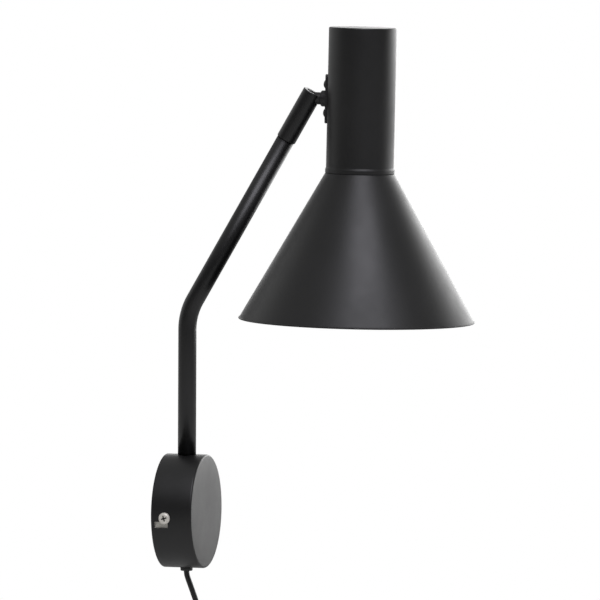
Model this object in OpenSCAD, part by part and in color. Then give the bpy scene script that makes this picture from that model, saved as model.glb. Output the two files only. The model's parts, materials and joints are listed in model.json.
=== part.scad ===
// Swing-arm wall reading light with a conical shade, a ball joint and a plug-in lead.
// Millimetres. The wall is the plane Y = 0, the light stands out along -Y, and Z is up.
// The origin is the middle of the canopy on the wall.

/* [Canopy] */
// Diameter of the round wall canopy
canopy_d = 87.4; // [80:0.2:110]
// Depth of the canopy, from the wall to its front
canopy_depth = 31.8; // [30:0.2:42]
// Sheet thickness of the canopy
canopy_wall = 1.0; // [0.8:0.1:1.4]
// Radius of the canopy's front edge
canopy_edge_r = 1.6; // [1.2:0.1:3]
// Width of the hook slots in the canopy's two sides
hook_slot_w = 4.8; // [4.4:0.1:5.6]
// Height that the canopy drops onto its hook screws
hook_drop = 5.2; // [4:0.1:6]
// Distance of the hook screws from the wall
hook_out = 10.8; // [9:0.1:12.6]
// Height of the hook screws above the canopy's centre
hook_z = -2; // [-4:0.5:4]
// Diameter of the hook screws' pan heads
hook_head_d = 8.8; // [7.6:0.1:10]

/* [Wall bracket] */
// Height of the bracket's strap
strap_h = 24; // [20:1:28]
// Sheet thickness of the bracket
strap_t = 1.5; // [1.2:0.1:2]
// Distance between the two wall screw slots
wall_screw_pitch = 44; // [40:1:50]
// Width of the wall screw slots
wall_slot_w = 4.4; // [4:0.1:5.4]
// End to end length of the wall screw slots
wall_slot_len = 9; // [7:0.5:11]

/* [Arm] */
// Outer diameter of the arm tube
tube_d = 14.0; // [11.2:0.1:16.8]
// Wall thickness of the arm tube
tube_wall = 1.2; // [0.8:0.1:1.6]
// Height of the arm's bend above the canopy's centre
riser_h = 152; // [110:1:200]
// Length of the sloping part, from the bend to the ball's centre
slope_len = 192; // [150:1:240]
// Angle that the arm leans out from vertical after the bend
bend_angle = 30; // [25:1:35]
// Radius of the bend on the tube's centre line
bend_r = 46; // [40:1:80]

/* [Ball joint] */
// How far the joint's sleeve stands proud of the tube, on the radius
sleeve_step = 0.8; // [0.4:0.1:1.4]
// Wall thickness of the sleeve
sleeve_wall = 1.35; // [1.1:0.05:1.6]
// Length of the sleeve below the ball's centre
sleeve_below = 36.6; // [34:0.2:46]
// Length of the sleeve above the ball's centre
sleeve_above = 5.4; // [4.6:0.1:6]
// Width of the ball's shoulder around its neck
neck_shoulder = 1.5; // [1.2:0.1:2]
// Gap along the stem between the sleeve and the boss
neck_gap = 1.8; // [1.4:0.1:4]
// Diameter of the threaded stem
stem_d = 8; // [7:0.1:8.4]

/* [Head] */
// Length of the boss that the stem turns in
boss_len = 3.7; // [3:0.1:8]
// Lean of the head at rest, its top away from the wall
head_lean = 1.0; // [0:0.1:2]
// Diameter of the tall round housing
housing_d = 51.6; // [50:0.1:62]
// Wall thickness of the housing
housing_wall = 1.0; // [0.8:0.1:1.2]
// Height of the housing above the stem
housing_above = 54.9; // [46:0.1:66]
// Length of the housing below the stem
housing_below = 56.1; // [55.6:0.1:68]
// Radius of the housing's top edge
housing_edge_r = 1.8; // [1.2:0.1:3]
// How far the bead at the housing's foot stands out
bead_out = 0.6; // [0.3:0.1:0.8]
// Height of that bead
bead_h = 4.6; // [3:0.1:6]
// Thickness of the curved mounting plate
plate_t = 1.9; // [1.5:0.1:2.2]
// Width of the mounting plate
plate_w = 14; // [13:0.5:18]
// Height of the mounting plate
plate_h = 37.4; // [35:0.2:45]
// Distance between the plate's two screws
plate_pitch = 21.8; // [21:0.2:26]
// Diameter of the screws' domed heads
dome_d = 7.7; // [6.6:0.1:8.4]
// Diameter of the boss that the stem turns in
boss_d = 12.3; // [11.6:0.1:13]

/* [Shade] */
// Diameter of the conical shade's rim
rim_d = 180; // [150:1:216]
// Height of the cone
cone_h = 112.3; // [94:0.1:135]
// How far the cone's top stands out past the housing's wall
cone_step = 0.7; // [0.6:0.1:1]
// Sheet thickness of the cone
cone_wall = 0.9; // [0.7:0.1:1.2]

/* [Lamp holder] */
// Diameter of the holder's threaded barrel
barrel_d = 39.8; // [38:0.1:41]
// Inside diameter of the bulb thread
bulb_thread_d = 26.8; // [26.4:0.1:27]
// Length of the barrel below the cone's flange
barrel_below = 22; // [20:0.5:25]

/* [Lead] */
// Diameter of the mains lead
lead_d = 4.4; // [4:0.1:5]
// Radius of the coil at the middle of its turns
coil_r = 26.4; // [24:0.1:28]
// Width of the bundle of turns
coil_w = 13.4; // [13:0.1:15]

/* [Hidden] */

$fn = 96;
eps = 0.02;      // gap between touching round faces of fixed pieces
run = 0.05;      // radial clearance of a running fit
free = 0.4;      // gap between pieces that only pass each other

black = "#1c1c1d";
zinc = "#b9b6ae";
steel = "#8d8f92";
brass = "#b79a55";
ceramic = "#e6e2d8";
copper = "#b87348";

// Canopy and what it holds
canopy_r = canopy_d / 2;
canopy_in = canopy_r - canopy_wall;
front_in = canopy_depth - canopy_wall;      // distance of the front's inner face from the wall
arm_out = canopy_depth / 2;                 // distance of the arm's upright axis from the wall
hook_entry_z = hook_z - hook_drop;
ear_half = 8;                               // half the height of the bracket's ears
ear_depth = 18;
hook_rim = 2.4;                             // metal left between the hook slot and the wall
fold_r = 2;                                 // outer radius of the fold between strap and ear
ear_reach = abs(hook_z) + ear_half;
ear_x = sqrt(canopy_in * canopy_in - ear_reach * ear_reach) - 0.8;
hook_r = 2;
hook_head_h = 2.4;

// Bearing of the arm, inside the canopy
tube_r = tube_d / 2;
tube_in = tube_r - tube_wall;
block_half = tube_r + 3.4;
block_h = 20;
block_top = sqrt(canopy_in * canopy_in - block_half * block_half) - 1.4;
block_foot = block_top - block_h;
flange_half = block_half + 8.3;
flange_t = 2.4;
flange_h = 10;
stud_x = block_half + 4.2;
stud_z = block_top - 10;
stud_r = 1.5;
skirt_h = 7;
collar_r = tube_r + 2.8;
skirt_in = collar_r + 0.8;
skirt_out = skirt_in + 2.2;
spring_gap = 1.4;
collar_h = 6;
collar_top = block_foot - spring_gap;
stop_z = collar_top - collar_h / 2;
swing_limit = 55;
stop_r = 1.5;
stop_half = asin(stop_r / skirt_in) + swing_limit + 2;
tube_foot = collar_top - collar_h - 2.5;

// Lead, where it enters the canopy
lead_r = lead_d / 2;
gland_flange_r = 4.8;
gland_flange_h = 2.5;
gland_neck_r = 4;
gland_top = -canopy_r + 8;
gland_foot = -canopy_r - gland_flange_h;
term_w = 22;
term_h = 12;
term_d = 12;
term_foot = gland_top + 4;
term_back = front_in - 3.8;                 // distance of the block's outer face from the wall

// Arm
bend_t = bend_r * tan(bend_angle / 2);
ball_out = arm_out + slope_len * sin(bend_angle);
ball_z = riser_h + slope_len * cos(bend_angle);

// Ball joint
sleeve_r = tube_r + sleeve_step;
bore_r = sleeve_r - sleeve_wall;
ball_r = bore_r - run;
neck_r = ball_r - neck_shoulder;
slot_r = neck_r + 0.15;
slot_low = 20;                              // lowest stem direction above the sleeve's cross plane
seat_top = -3.2;
seat_foot = -10;
spring_count = 4;
spring_pitch = 1.6;
nipple_top = seat_foot - spring_count * spring_pitch - 0.1;
nipple_below = 12;
wire_way = 3.4;
neck_len = sleeve_r + neck_gap;             // from the ball's centre
stem_r = stem_d / 2;
stem_bore = 2.2;

// Head, measured from the ball's centre, with the stem along -Y
housing_r = housing_d / 2;
housing_in = housing_r - housing_wall;
plate_face = housing_r + plate_t;
shade_out = neck_len + boss_len + plate_face; // from the ball's centre to the shade's axis
strap_out = housing_in - 0.1;
strap_in = strap_out - 1.5;
leg_w = 16;
washer_r = 7;
washer_t = 1;
washer_y = shade_out - sqrt(strap_in * strap_in - washer_r * washer_r) + eps;
stem_nut_h = 4.5;
stem_end = washer_y + washer_t + stem_nut_h + 1.4;
seam = -housing_below;
rim_r = rim_d / 2;
rim_z = seam - cone_h;
cone_top_r = housing_r + cone_step;
cone_slope = atan((rim_r - cone_top_r) / cone_h);
spigot_r = housing_in - 0.15;
spigot_h = 6;
cone_flange_t = 1;
barrel_r = barrel_d / 2;
barrel_up = 14;
cap_h = 18;
leg_z = seam + barrel_up + cap_h + 1;       // underside of the strap's level leg
leg_t = 2;
nipple_r = 5;
shell_in = bulb_thread_d / 2;
core_foot = seam - 2;
core_top = seam + barrel_up - 1;
contact_pocket = 4.4;                       // depth of the core's pocket for the centre contact

// Lead outside the canopy: routes of the free stretches
upper_route = [[0, -15.9, -46.2], [0, -16.3, -49.5], [0, -17.8, -54], [0, -20.1, -60],
               [0, -22.3, -66], [0, -24.4, -72], [0, -25.8, -78], [0, -26.3, -84], [0, -26.3, -88]];
lower_route = [[0, -26.3, -164], [0, -26.1, -167.5], [1.4, -25.2, -174.2], [5.6, -23.5, -181.4],
               [13.5, -22, -187.4]];
tail_route = [[0, -30.7, -184.4], [7.7, -32.5, -185.8], [14.1, -35, -190], [18.5, -38, -196.5],
              [20, -40.3, -203], [20, -41, -207]];
coil_centre = [0, -26.3, -215];
switch_top = -98;
switch_len = 56;
switch_w = 27;
switch_front_d = 10;
switch_back_d = 8;
switch_edge_r = 6;
switch_at = upper_route[8];
boot_len = 10;
boot_thick_r = 4.8;
boot_thin_r = 3.2;
rocker_w = 11;
rocker_len = 19;
rocker_tilt = 7;
pin_r = 1;
plug_at = tail_route[5];
plug_relief = 20;
plug_len = 34;
plug_w = 35;
plug_d = 13.7;
plug_pin_r = 2;
plug_pin_len = 19;
plug_pitch = 18.6;

// ---- helpers ----

// Rounded rectangle, centred, made of plain squares and circles
module rounded_rect(w, h, r) {
    square([w - 2 * r, h], center = true);
    square([w, h - 2 * r], center = true);
    for (x = [-1, 1], y = [-1, 1])
        translate([x * (w / 2 - r), y * (h / 2 - r)]) circle(r);
}

// Hexagonal nut with its foot on z = 0
module hex_nut(across_flats, h, bore) {
    difference() {
        cylinder(d = across_flats / cos(30), h = h, $fn = 6);
        translate([0, 0, -1]) cylinder(r = bore, h = h + 2, $fn = 48);
    }
}

// Ring with its foot on z = 0
module ring(outer, inner, h) {
    difference() {
        cylinder(r = outer, h = h);
        translate([0, 0, -1]) cylinder(r = inner, h = h + 2);
    }
}

// Cross recess for a screw head whose top is at z = top
module cross_recess(top, depth, span) {
    for (a = [0, 90])
        rotate([0, 0, a]) translate([-span / 2, -0.5, top - depth]) cube([span, 1, depth + 1]);
}

// Turns +Z to point away from the wall
module facing_out() rotate([90, 0, 0]) children();

// Places children on the arm's upright axis at height z
module on_upright(z) translate([0, -arm_out, z]) children();

// Places children on the arm's slope, along dist from the bend, with +Z up the slope
module on_slope(dist) {
    translate([0, -(arm_out + dist * sin(bend_angle)), riser_h + dist * cos(bend_angle)])
        rotate([bend_angle, 0, 0]) children();
}

// Places children at the ball's centre, with the head's lean at rest
module on_head() translate([0, -ball_out, ball_z]) rotate([head_lean, 0, 0]) children();

// Places children on the shade's axis, at height z above the stem
module on_shade(z) on_head() translate([0, -shade_out, z]) children();

// Places children at dist along the stem, with +Z pointing away from the wall
module on_stem(dist, z = 0) on_head() translate([0, -dist, z]) facing_out() children();

function curve_point(a, b, c, d, t) =
    0.5 * (2 * b + (c - a) * t + (2 * a - 5 * b + 4 * c - d) * t * t
           + (3 * b - a - 3 * c + d) * t * t * t);

function smooth_route(p, n) =
    [for (i = [0 : len(p) - 2], k = [0 : n - 1])
        curve_point(p[max(i - 1, 0)], p[i], p[i + 1], p[min(i + 2, len(p) - 1)], k / n),
     p[len(p) - 1]];

function unit(v) = v / norm(v);

function heading(p, i) = unit(p[min(i + 1, len(p) - 1)] - p[max(i - 1, 0)]);

// Tube of radius r swept along a route that never runs along Y
module lead_tube(route, r, sides, per_step) {
    path = smooth_route(route, per_step);
    n = len(path);
    rings = [for (i = [0 : n - 1])
        let (t = heading(path, i), u = unit(cross([0, 1, 0], t)), v = cross(t, u))
        for (k = [0 : sides - 1])
            path[i] + r * (cos(360 * k / sides) * u + sin(360 * k / sides) * v)];
    walls = [for (i = [0 : n - 2], k = [0 : sides - 1])
        let (a = i * sides + k, b = i * sides + (k + 1) % sides)
        [a, a + sides, b + sides, b]];
    foot = [[for (k = [0 : sides - 1]) k]];
    top = [[for (k = [sides - 1 : -1 : 0]) (n - 1) * sides + k]];
    polyhedron(points = rings, faces = concat(foot, walls, top), convexity = 6);
}

// Pipe swept along a path that never runs along Y, with outer and inner radius
module pipe(path, outer, inner, sides) {
    n = len(path);
    wall = n * sides;
    rings = [for (r = [outer, inner], i = [0 : n - 1])
        let (t = heading(path, i), u = unit(cross([0, 1, 0], t)), v = cross(t, u))
        for (k = [0 : sides - 1])
            path[i] + r * (cos(360 * k / sides) * u + sin(360 * k / sides) * v)];
    faces = [for (i = [0 : n - 2], k = [0 : sides - 1])
        let (a = i * sides + k, b = i * sides + (k + 1) % sides)
        each [[a, a + sides, b + sides, b],
              [wall + a, wall + b, wall + b + sides, wall + a + sides]]];
    caps = [for (k = [0 : sides - 1])
        let (m = (k + 1) % sides, e = (n - 1) * sides)
        each [[k, m, wall + m, wall + k], [e + k, wall + e + k, wall + e + m, e + m]]];
    polyhedron(points = rings, faces = concat(faces, caps), convexity = 8);
}

// ---- canopy and wall bracket ----

// Section of a cup with a rounded front edge: radius along X, depth along Y
module cup_section(r, depth, edge) {
    square([r - edge, depth]);
    square([r, depth - edge]);
    translate([r - edge, depth - edge]) circle(edge);
}

module hook_slot() {
    far = hook_out + hook_slot_w / 2;
    translate([canopy_r - 12, -far, hook_entry_z - hook_slot_w / 2])
        cube([20, far - hook_rim, hook_slot_w]);
    translate([canopy_r - 12, -hook_out, hook_z]) rotate([0, 90, 0])
        cylinder(d = hook_slot_w, h = 20, $fn = 48);
    translate([canopy_r - 12, -hook_out - hook_slot_w / 2, hook_entry_z])
        cube([20, hook_slot_w, hook_drop]);
}

module canopy() {
    inner_edge = max(canopy_edge_r - canopy_wall, 0.4);
    color(black) {
        difference() {
            facing_out() rotate_extrude($fn = 180) difference() {
                cup_section(canopy_r, canopy_depth, canopy_edge_r);
                translate([0, -1]) cup_section(canopy_in, front_in + 1, inner_edge);
            }
            on_upright(canopy_in - 12) cylinder(r = tube_r + free, h = 20);
            on_upright(-canopy_r - 4) cylinder(r = gland_neck_r + eps, h = 10, $fn = 48);
            hook_slot();
            mirror([1, 0, 0]) hook_slot();
        }
        for (side = [-1, 1])
            translate([side * stud_x, -front_in + 8, stud_z]) facing_out()
                cylinder(r = stud_r, h = 8.4, $fn = 32);
        translate([0, -term_back, term_foot + term_h / 2]) facing_out() difference() {
            cylinder(r = 2.8, h = front_in - term_back + 0.3, $fn = 40);
            translate([0, 0, -1]) cylinder(r = 1.5 + eps, h = 4, $fn = 32);
        }
    }
}

module wall_bracket() {
    color(zinc) difference() {
        union() {
            translate([-ear_x, -strap_t, -strap_h / 2]) cube([2 * ear_x, strap_t, strap_h]);
            for (side = [-1, 1])
                translate([side > 0 ? ear_x - strap_t : -ear_x, -ear_depth, hook_z - ear_half])
                    cube([strap_t, ear_depth, 2 * ear_half]);
        }
        for (side = [-1, 1])
            translate([side * (ear_x - fold_r), -fold_r, -strap_h]) difference() {
                translate([side > 0 ? 0 : -fold_r - 1, 0, 0]) cube([fold_r + 1, fold_r + 1, 2 * strap_h]);
                translate([0, 0, -1]) cylinder(r = fold_r, h = 2 * strap_h + 2, $fn = 64);
            }
        for (side = [-1, 1]) {
            translate([side * wall_screw_pitch / 2, 1, 0]) facing_out()
                for (end = [-1, 1])
                    translate([end * (wall_slot_len - wall_slot_w) / 2, 0, 0])
                        cylinder(d = wall_slot_w, h = strap_t + 2, $fn = 48);
            translate([side * wall_screw_pitch / 2 - (wall_slot_len - wall_slot_w) / 2,
                       -strap_t - 1, -wall_slot_w / 2])
                cube([wall_slot_len - wall_slot_w, strap_t + 2, wall_slot_w]);
        }
        translate([-ear_x - 1, -hook_out, hook_z]) rotate([0, 90, 0])
            cylinder(r = hook_r + eps, h = 2 * ear_x + 2, $fn = 48);
    }
}

// Pan head screw: head's underside on z = 0, shank downwards
module pan_screw(shank_r, shank_len, head_r, head_h) {
    difference() {
        union() {
            translate([0, 0, -shank_len]) cylinder(r = shank_r, h = shank_len, $fn = 48);
            cylinder(r = head_r, h = head_h * 0.45);
            translate([0, 0, head_h * 0.45]) cylinder(r1 = head_r, r2 = head_r * 0.72, h = head_h * 0.55);
        }
        cross_recess(head_h, head_h * 0.7, head_r * 1.1);
    }
}

module hook_screws() {
    seat = canopy_r + eps;
    shank = seat - ear_x + strap_t + 2;
    color(zinc) for (side = [-1, 1])
        translate([side * seat, -hook_out, hook_z]) rotate([0, side * 90, 0])
            pan_screw(hook_r, shank, hook_head_d / 2, hook_head_h);
}

// ---- arm bearing inside the canopy ----

module bearing_block() {
    block_back = arm_out - block_half;
    color(steel) difference() {
        union() {
            translate([-block_half, -front_in + eps, block_foot])
                cube([2 * block_half, front_in - block_back, block_h]);
            translate([-flange_half, -front_in + eps, stud_z - flange_h / 2])
                cube([2 * flange_half, flange_t, flange_h]);
            on_upright(block_foot - skirt_h) difference() {
                ring(skirt_out, skirt_in, skirt_h + 1);
                translate([0, 0, -1]) linear_extrude(skirt_h + 3)
                    polygon([[0, 0],
                             for (a = [-stop_half, -stop_half / 2, 0, stop_half / 2, stop_half])
                                 [3 * skirt_out * sin(a), -3 * skirt_out * cos(a)]]);
            }
        }
        on_upright(block_foot - 1) cylinder(r = tube_r + run, h = block_h + 2);
        on_upright(block_foot - skirt_h - 1) cylinder(r = skirt_in, h = skirt_h + 1);
        for (side = [-1, 1])
            translate([side * stud_x, -front_in + flange_t + 1, stud_z]) facing_out()
                cylinder(r = stud_r + 0.1, h = flange_t + 2, $fn = 32);
    }
}

module block_nuts() {
    color(zinc) for (side = [-1, 1])
        translate([side * stud_x, -front_in + flange_t + 2.4 + 2 * eps, stud_z]) facing_out()
            hex_nut(5.5, 2.4, stud_r + eps);
}

module retaining_collar() {
    color(steel) on_upright(collar_top - collar_h) difference() {
        ring(collar_r, tube_r + eps, collar_h);
        translate([0, 0, collar_h / 2]) facing_out() cylinder(r = stop_r + eps, h = 20, $fn = 32);
    }
}

module stop_screw() {
    color(zinc) on_upright(stop_z) translate([0, -tube_r - 0.15, 0]) facing_out()
        cylinder(r = stop_r, h = skirt_out - tube_r - 0.3, $fn = 32);
}

module spring_washer() {
    t = 0.5;
    rise = spring_gap - 0.1 - t;
    color(steel) on_upright(collar_top + eps) rotate_extrude()
        polygon([[tube_r + 0.3, rise], [collar_r - 0.2, 0], [collar_r - 0.2, t], [tube_r + 0.3, rise + t]]);
}

// ---- lead entry and terminals inside the canopy ----

module cord_gland() {
    color(black) on_upright(gland_foot) difference() {
        union() {
            cylinder(r1 = gland_flange_r - 0.5, r2 = gland_flange_r, h = 0.8, $fn = 64);
            translate([0, 0, 0.8]) cylinder(r = gland_flange_r, h = gland_flange_h - 0.8 - eps, $fn = 64);
            cylinder(r = gland_neck_r, h = gland_top - gland_foot, $fn = 64);
        }
        translate([0, 0, -1]) cylinder(r = lead_r + eps, h = 20, $fn = 48);
        translate([0, 0, gland_top - gland_foot - 2]) rotate([0, 90, 0])
            cylinder(r = 1 + eps, h = 10, $fn = 24);
    }
}

module gland_nut() {
    foot = -sqrt(canopy_in * canopy_in - 25) + 0.6;
    color(zinc) on_upright(foot) hex_nut(9.6, 2.2, gland_neck_r + eps);
}

module grip_screw() {
    color(zinc) on_upright(gland_top - 2) translate([lead_r + 0.1, 0, 0]) rotate([0, 90, 0]) {
        cylinder(r = 1, h = gland_neck_r - lead_r + 0.4, $fn = 24);
        translate([0, 0, gland_neck_r - lead_r + 0.2]) cylinder(r = 1.8, h = 1.2, $fn = 32);
    }
}

module mains_tail() {
    color("#242424") on_upright(gland_foot)
        cylinder(r = lead_r, h = term_foot - gland_foot - eps, $fn = 48);
}

module terminal_block() {
    color(ceramic) difference() {
        translate([-term_w / 2, -term_back + eps, term_foot]) cube([term_w, term_d, term_h]);
        translate([0, -term_back + term_d + 1, term_foot + term_h / 2]) facing_out()
            cylinder(r = 1.6, h = term_d + 2, $fn = 32);
        for (side = [-1, 1])
            translate([side * 6.5, -term_back + term_d + 1, term_foot + term_h / 2]) facing_out()
                cylinder(r = 1.9, h = 5, $fn = 32);
    }
}

module terminal_screw() {
    color(zinc) translate([0, -term_back + term_d + 2 * eps, term_foot + term_h / 2])
        rotate([-90, 0, 0]) pan_screw(1.5, term_d + 2.4, 2.8, 1.8);
}

module supply_leads() {
    foot = term_foot + term_h + eps;
    color("#7a4a22") for (side = [-1, 1])
        translate([side * 1.6, -arm_out, foot]) cylinder(r = 1.1, h = tube_foot + 1.5 - foot, $fn = 32);
}

// ---- arm ----

module arm_tube() {
    color(black) pipe(arm_line(tube_foot, slope_len - sleeve_below), tube_r, tube_in, 36);
}

// Points along the arm's centre line, from the height foot to dist along the slope
function arm_line(foot, dist) = concat(
    [[0, -arm_out, foot], [0, -arm_out, (foot + riser_h - bend_t) / 2]],
    [for (a = [0 : bend_angle / 5 : bend_angle + 0.01])
        [0, -arm_out - bend_r * (1 - cos(a)), riser_h - bend_t + bend_r * sin(a)]],
    [for (d = [(bend_t + dist) / 2, dist])
        [0, -(arm_out + d * sin(bend_angle)), riser_h + d * cos(bend_angle)]]);

module arm_flex() {
    color("#242424") lead_tube(arm_line(tube_foot + 3, slope_len - sleeve_below + 14), 2.6, 10, 2);
}

module arm_nipple() {
    color(brass) on_slope(slope_len) difference() {
        union() {
            translate([0, 0, -sleeve_below - nipple_below])
                cylinder(r = tube_in - eps, h = nipple_below + 1);
            translate([0, 0, -sleeve_below + eps])
                cylinder(r = bore_r - eps, h = nipple_top + sleeve_below - eps);
        }
        translate([0, 0, -sleeve_below - nipple_below - 1]) cylinder(r = wire_way, h = 60, $fn = 64);
    }
}

// ---- ball joint: Z runs up the arm's slope, the ball's centre at the origin ----

module stem_slot() {
    reach = 14;
    side = slot_r - 0.03;
    rotate([90 - slot_low, 0, 0]) cylinder(r = slot_r, h = reach);
    cylinder(r = slot_r, h = reach);
    rotate([90, 0, 90]) translate([0, 0, -side]) linear_extrude(2 * side)
        polygon([[0, 0], [-reach * cos(slot_low), reach * sin(slot_low)], [-reach, reach], [0, reach]]);
}

module joint_sleeve() {
    lip = 0.5;
    color(black) on_slope(slope_len) difference() {
        rotate_extrude() difference() {
            polygon([[0, -sleeve_below], [sleeve_r - lip, -sleeve_below], [sleeve_r, -sleeve_below + lip],
                     [sleeve_r, sleeve_above - lip], [sleeve_r - lip, sleeve_above], [0, sleeve_above]]);
            circle(bore_r);
            translate([-1, -sleeve_below - 1]) square([bore_r + 1, sleeve_below + 1]);
        }
        stem_slot();
    }
}

module ball_seat() {
    color(brass) on_slope(slope_len) difference() {
        translate([0, 0, seat_foot]) cylinder(r = bore_r - run, h = seat_top - seat_foot);
        sphere(r = ball_r + run);
        translate([0, 0, seat_foot - 1]) cylinder(r = wire_way, h = 20, $fn = 64);
    }
}

module disc_springs() {
    t = 0.5;
    low = 0.1;
    high = spring_pitch - t - 0.1;
    color(steel) on_slope(slope_len) for (i = [0 : spring_count - 1])
        translate([0, 0, seat_foot - (i + 1) * spring_pitch]) rotate_extrude() {
            inner = i % 2 == 0 ? high : low;
            outer = i % 2 == 0 ? low : high;
            polygon([[wire_way + 0.2, inner], [bore_r - 0.2, outer],
                     [bore_r - 0.2, outer + t], [wire_way + 0.2, inner + t]]);
        }
}

module ball_stud() {
    color(black) difference() {
        union() {
            on_head() sphere(r = ball_r);
            on_stem(0) cylinder(r = neck_r, h = neck_len);
            on_stem(0) cylinder(r = stem_r, h = stem_end);
        }
        on_stem(-ball_r - 1) cylinder(r = stem_bore, h = stem_end + ball_r + 2, $fn = 64);
        on_slope(slope_len) translate([0, 0, -ball_r - 1])
            cylinder(r1 = stem_bore + 0.8, r2 = stem_bore, h = ball_r + 1, $fn = 64);
    }
}

module stem_washer() {
    color(zinc) on_stem(washer_y) ring(washer_r, stem_r + eps, washer_t);
}

module stem_nut() {
    color(zinc) on_stem(washer_y + washer_t + eps) hex_nut(13, stem_nut_h, stem_r + eps);
}

// ---- head ----

module swivel_boss() {
    chamfer = 0.6;
    color(black) difference() {
        union() {
            on_stem(neck_len + run) cylinder(r1 = boss_d / 2 - chamfer, r2 = boss_d / 2, h = chamfer);
            on_stem(neck_len + run + chamfer)
                cylinder(d = boss_d, h = boss_len + 1.5);
        }
        on_stem(neck_len - 1) cylinder(r = stem_r + run, h = 12);
        on_shade(-20) cylinder(r = plate_face + eps, h = 40, $fn = 180);
    }
}

module mounting_plate() {
    color(black) difference() {
        intersection() {
            on_shade(-plate_h / 2) ring(plate_face, housing_r + eps, plate_h, $fn = 180);
            on_stem(shade_out - plate_face - 2) linear_extrude(12) rounded_rect(plate_w, plate_h, 2.5);
        }
        on_stem(0) cylinder(r = stem_r + run, h = shade_out);
        for (side = [-1, 1])
            on_stem(0, side * plate_pitch / 2) cylinder(r = 2.2, h = shade_out, $fn = 48);
    }
}

// Domed screw: the head's underside on z = 0, shank upwards
module dome_screw(shank_r, shank_len, head_r, head_h) {
    dome_r = (head_r * head_r + head_h * head_h) / (2 * head_h);
    difference() {
        union() {
            cylinder(r = shank_r, h = shank_len, $fn = 48);
            intersection() {
                translate([0, 0, dome_r - head_h]) sphere(r = dome_r, $fn = 96);
                translate([0, 0, -head_h]) cylinder(r = head_r + 1, h = head_h);
            }
        }
        mirror([0, 0, 1]) cross_recess(head_h, 1.3, head_r * 0.9);
    }
}

module plate_screws() {
    color(black) for (side = [-1, 1])
        on_stem(shade_out - plate_face - eps, side * plate_pitch / 2)
            dome_screw(2, plate_face - strap_in + 2.5, dome_d / 2, 2.1);
}

module housing() {
    top = housing_above + housing_below;
    inner_edge = max(housing_edge_r - housing_wall, 0.4);
    color(black) difference() {
        on_shade(seam) rotate_extrude($fn = 180) difference() {
            union() {
                cup_section(housing_r, top, housing_edge_r);
                polygon([[housing_in, 0], [housing_r + bead_out - 0.4, 0], [housing_r + bead_out, 0.5],
                         [housing_r + bead_out, bead_h - 1.6], [housing_r, bead_h], [housing_in, bead_h]]);
            }
            translate([0, -1]) cup_section(housing_in, top - housing_wall + 1, inner_edge);
        }
        on_stem(0) cylinder(r = stem_r + 0.3, h = shade_out, $fn = 64);
        for (side = [-1, 1])
            on_stem(0, side * plate_pitch / 2) cylinder(r = 2.2, h = shade_out, $fn = 48);
    }
}

module holder_strap() {
    leg_top = plate_pitch / 2 + 5;
    color(zinc) difference() {
        union() {
            intersection() {
                on_shade(leg_z) ring(strap_out, strap_in, leg_top - leg_z, $fn = 180);
                on_stem(0) translate([-leg_w / 2, -40, 0]) cube([leg_w, 80, shade_out]);
            }
            intersection() {
                on_shade(leg_z) cylinder(r = strap_out, h = leg_t, $fn = 180);
                on_shade(leg_z - 1) translate([-leg_w / 2, -9, 0]) cube([leg_w, 60, leg_t + 2]);
            }
        }
        on_stem(0) cylinder(r = stem_r + run, h = shade_out);
        for (side = [-1, 1])
            on_stem(0, side * plate_pitch / 2) cylinder(r = 2 + eps, h = shade_out, $fn = 48);
        on_shade(leg_z - 5) cylinder(r = nipple_r + eps, h = 10, $fn = 64);
    }
}

module shade_cone() {
    skin = cone_wall / cos(cone_slope);
    hole_r = barrel_r + 0.3;
    under = cone_top_r - skin + cone_flange_t * tan(cone_slope);
    color(black) on_shade(0) rotate_extrude($fn = 240) {
        polygon([[hole_r, seam - cone_flange_t], [under, seam - cone_flange_t],
                 [rim_r - skin, rim_z + 0.4], [rim_r - 0.3, rim_z + 0.4], [rim_r, rim_z + 0.4],
                 [cone_top_r, seam - eps], [spigot_r, seam - eps], [spigot_r, seam + spigot_h],
                 [spigot_r - cone_wall, seam + spigot_h], [spigot_r - cone_wall, seam - eps],
                 [hole_r, seam - eps]]);
        translate([rim_r - 0.75, rim_z + 0.75]) circle(0.75, $fn = 24);
    }
}

// ---- lamp holder: the shade's axis is Z ----

module holder_body() {
    lip = 1.5;
    color(black) on_shade(seam) difference() {
        union() {
            translate([0, 0, -barrel_below]) cylinder(r = barrel_r, h = barrel_below + barrel_up);
            cylinder(r = barrel_r + 2, h = 3);
            cylinder(r = barrel_r + 0.6, h = barrel_up);
        }
        translate([0, 0, -barrel_below + lip]) cylinder(r = barrel_r - 2.2, h = 60);
        translate([0, 0, -barrel_below - 1]) cylinder(r = shell_in + 1.6, h = 20);
    }
}

module holder_cap() {
    color(black) on_shade(seam + barrel_up + eps) difference() {
        union() {
            cylinder(r = barrel_r + 0.6, h = 4);
            translate([0, 0, 4]) cylinder(r1 = barrel_r + 0.6, r2 = nipple_r + 3.5, h = cap_h - 8);
            cylinder(r = nipple_r + 3.5, h = cap_h);
        }
        translate([0, 0, -1]) cylinder(r = barrel_r - 1.6, h = 4.6);
        translate([0, 0, 3.6]) cylinder(r1 = barrel_r - 1.6, r2 = nipple_r + 1, h = cap_h - 9.6);
        translate([0, 0, -1]) cylinder(r = nipple_r + eps, h = cap_h + 2, $fn = 64);
    }
}

module holder_nipple() {
    foot = seam + barrel_up + cap_h - 7;
    color(steel) on_shade(foot) ring(nipple_r, wire_way, leg_z + leg_t + 6 - foot, $fn = 64);
}

module nipple_nut() {
    color(zinc) {
        on_shade(leg_z + leg_t + eps) hex_nut(14, 3, nipple_r + eps);
        on_shade(leg_z - 1 + 2 * eps) ring(8, nipple_r + eps, 1 - 3 * eps);
    }
}

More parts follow.
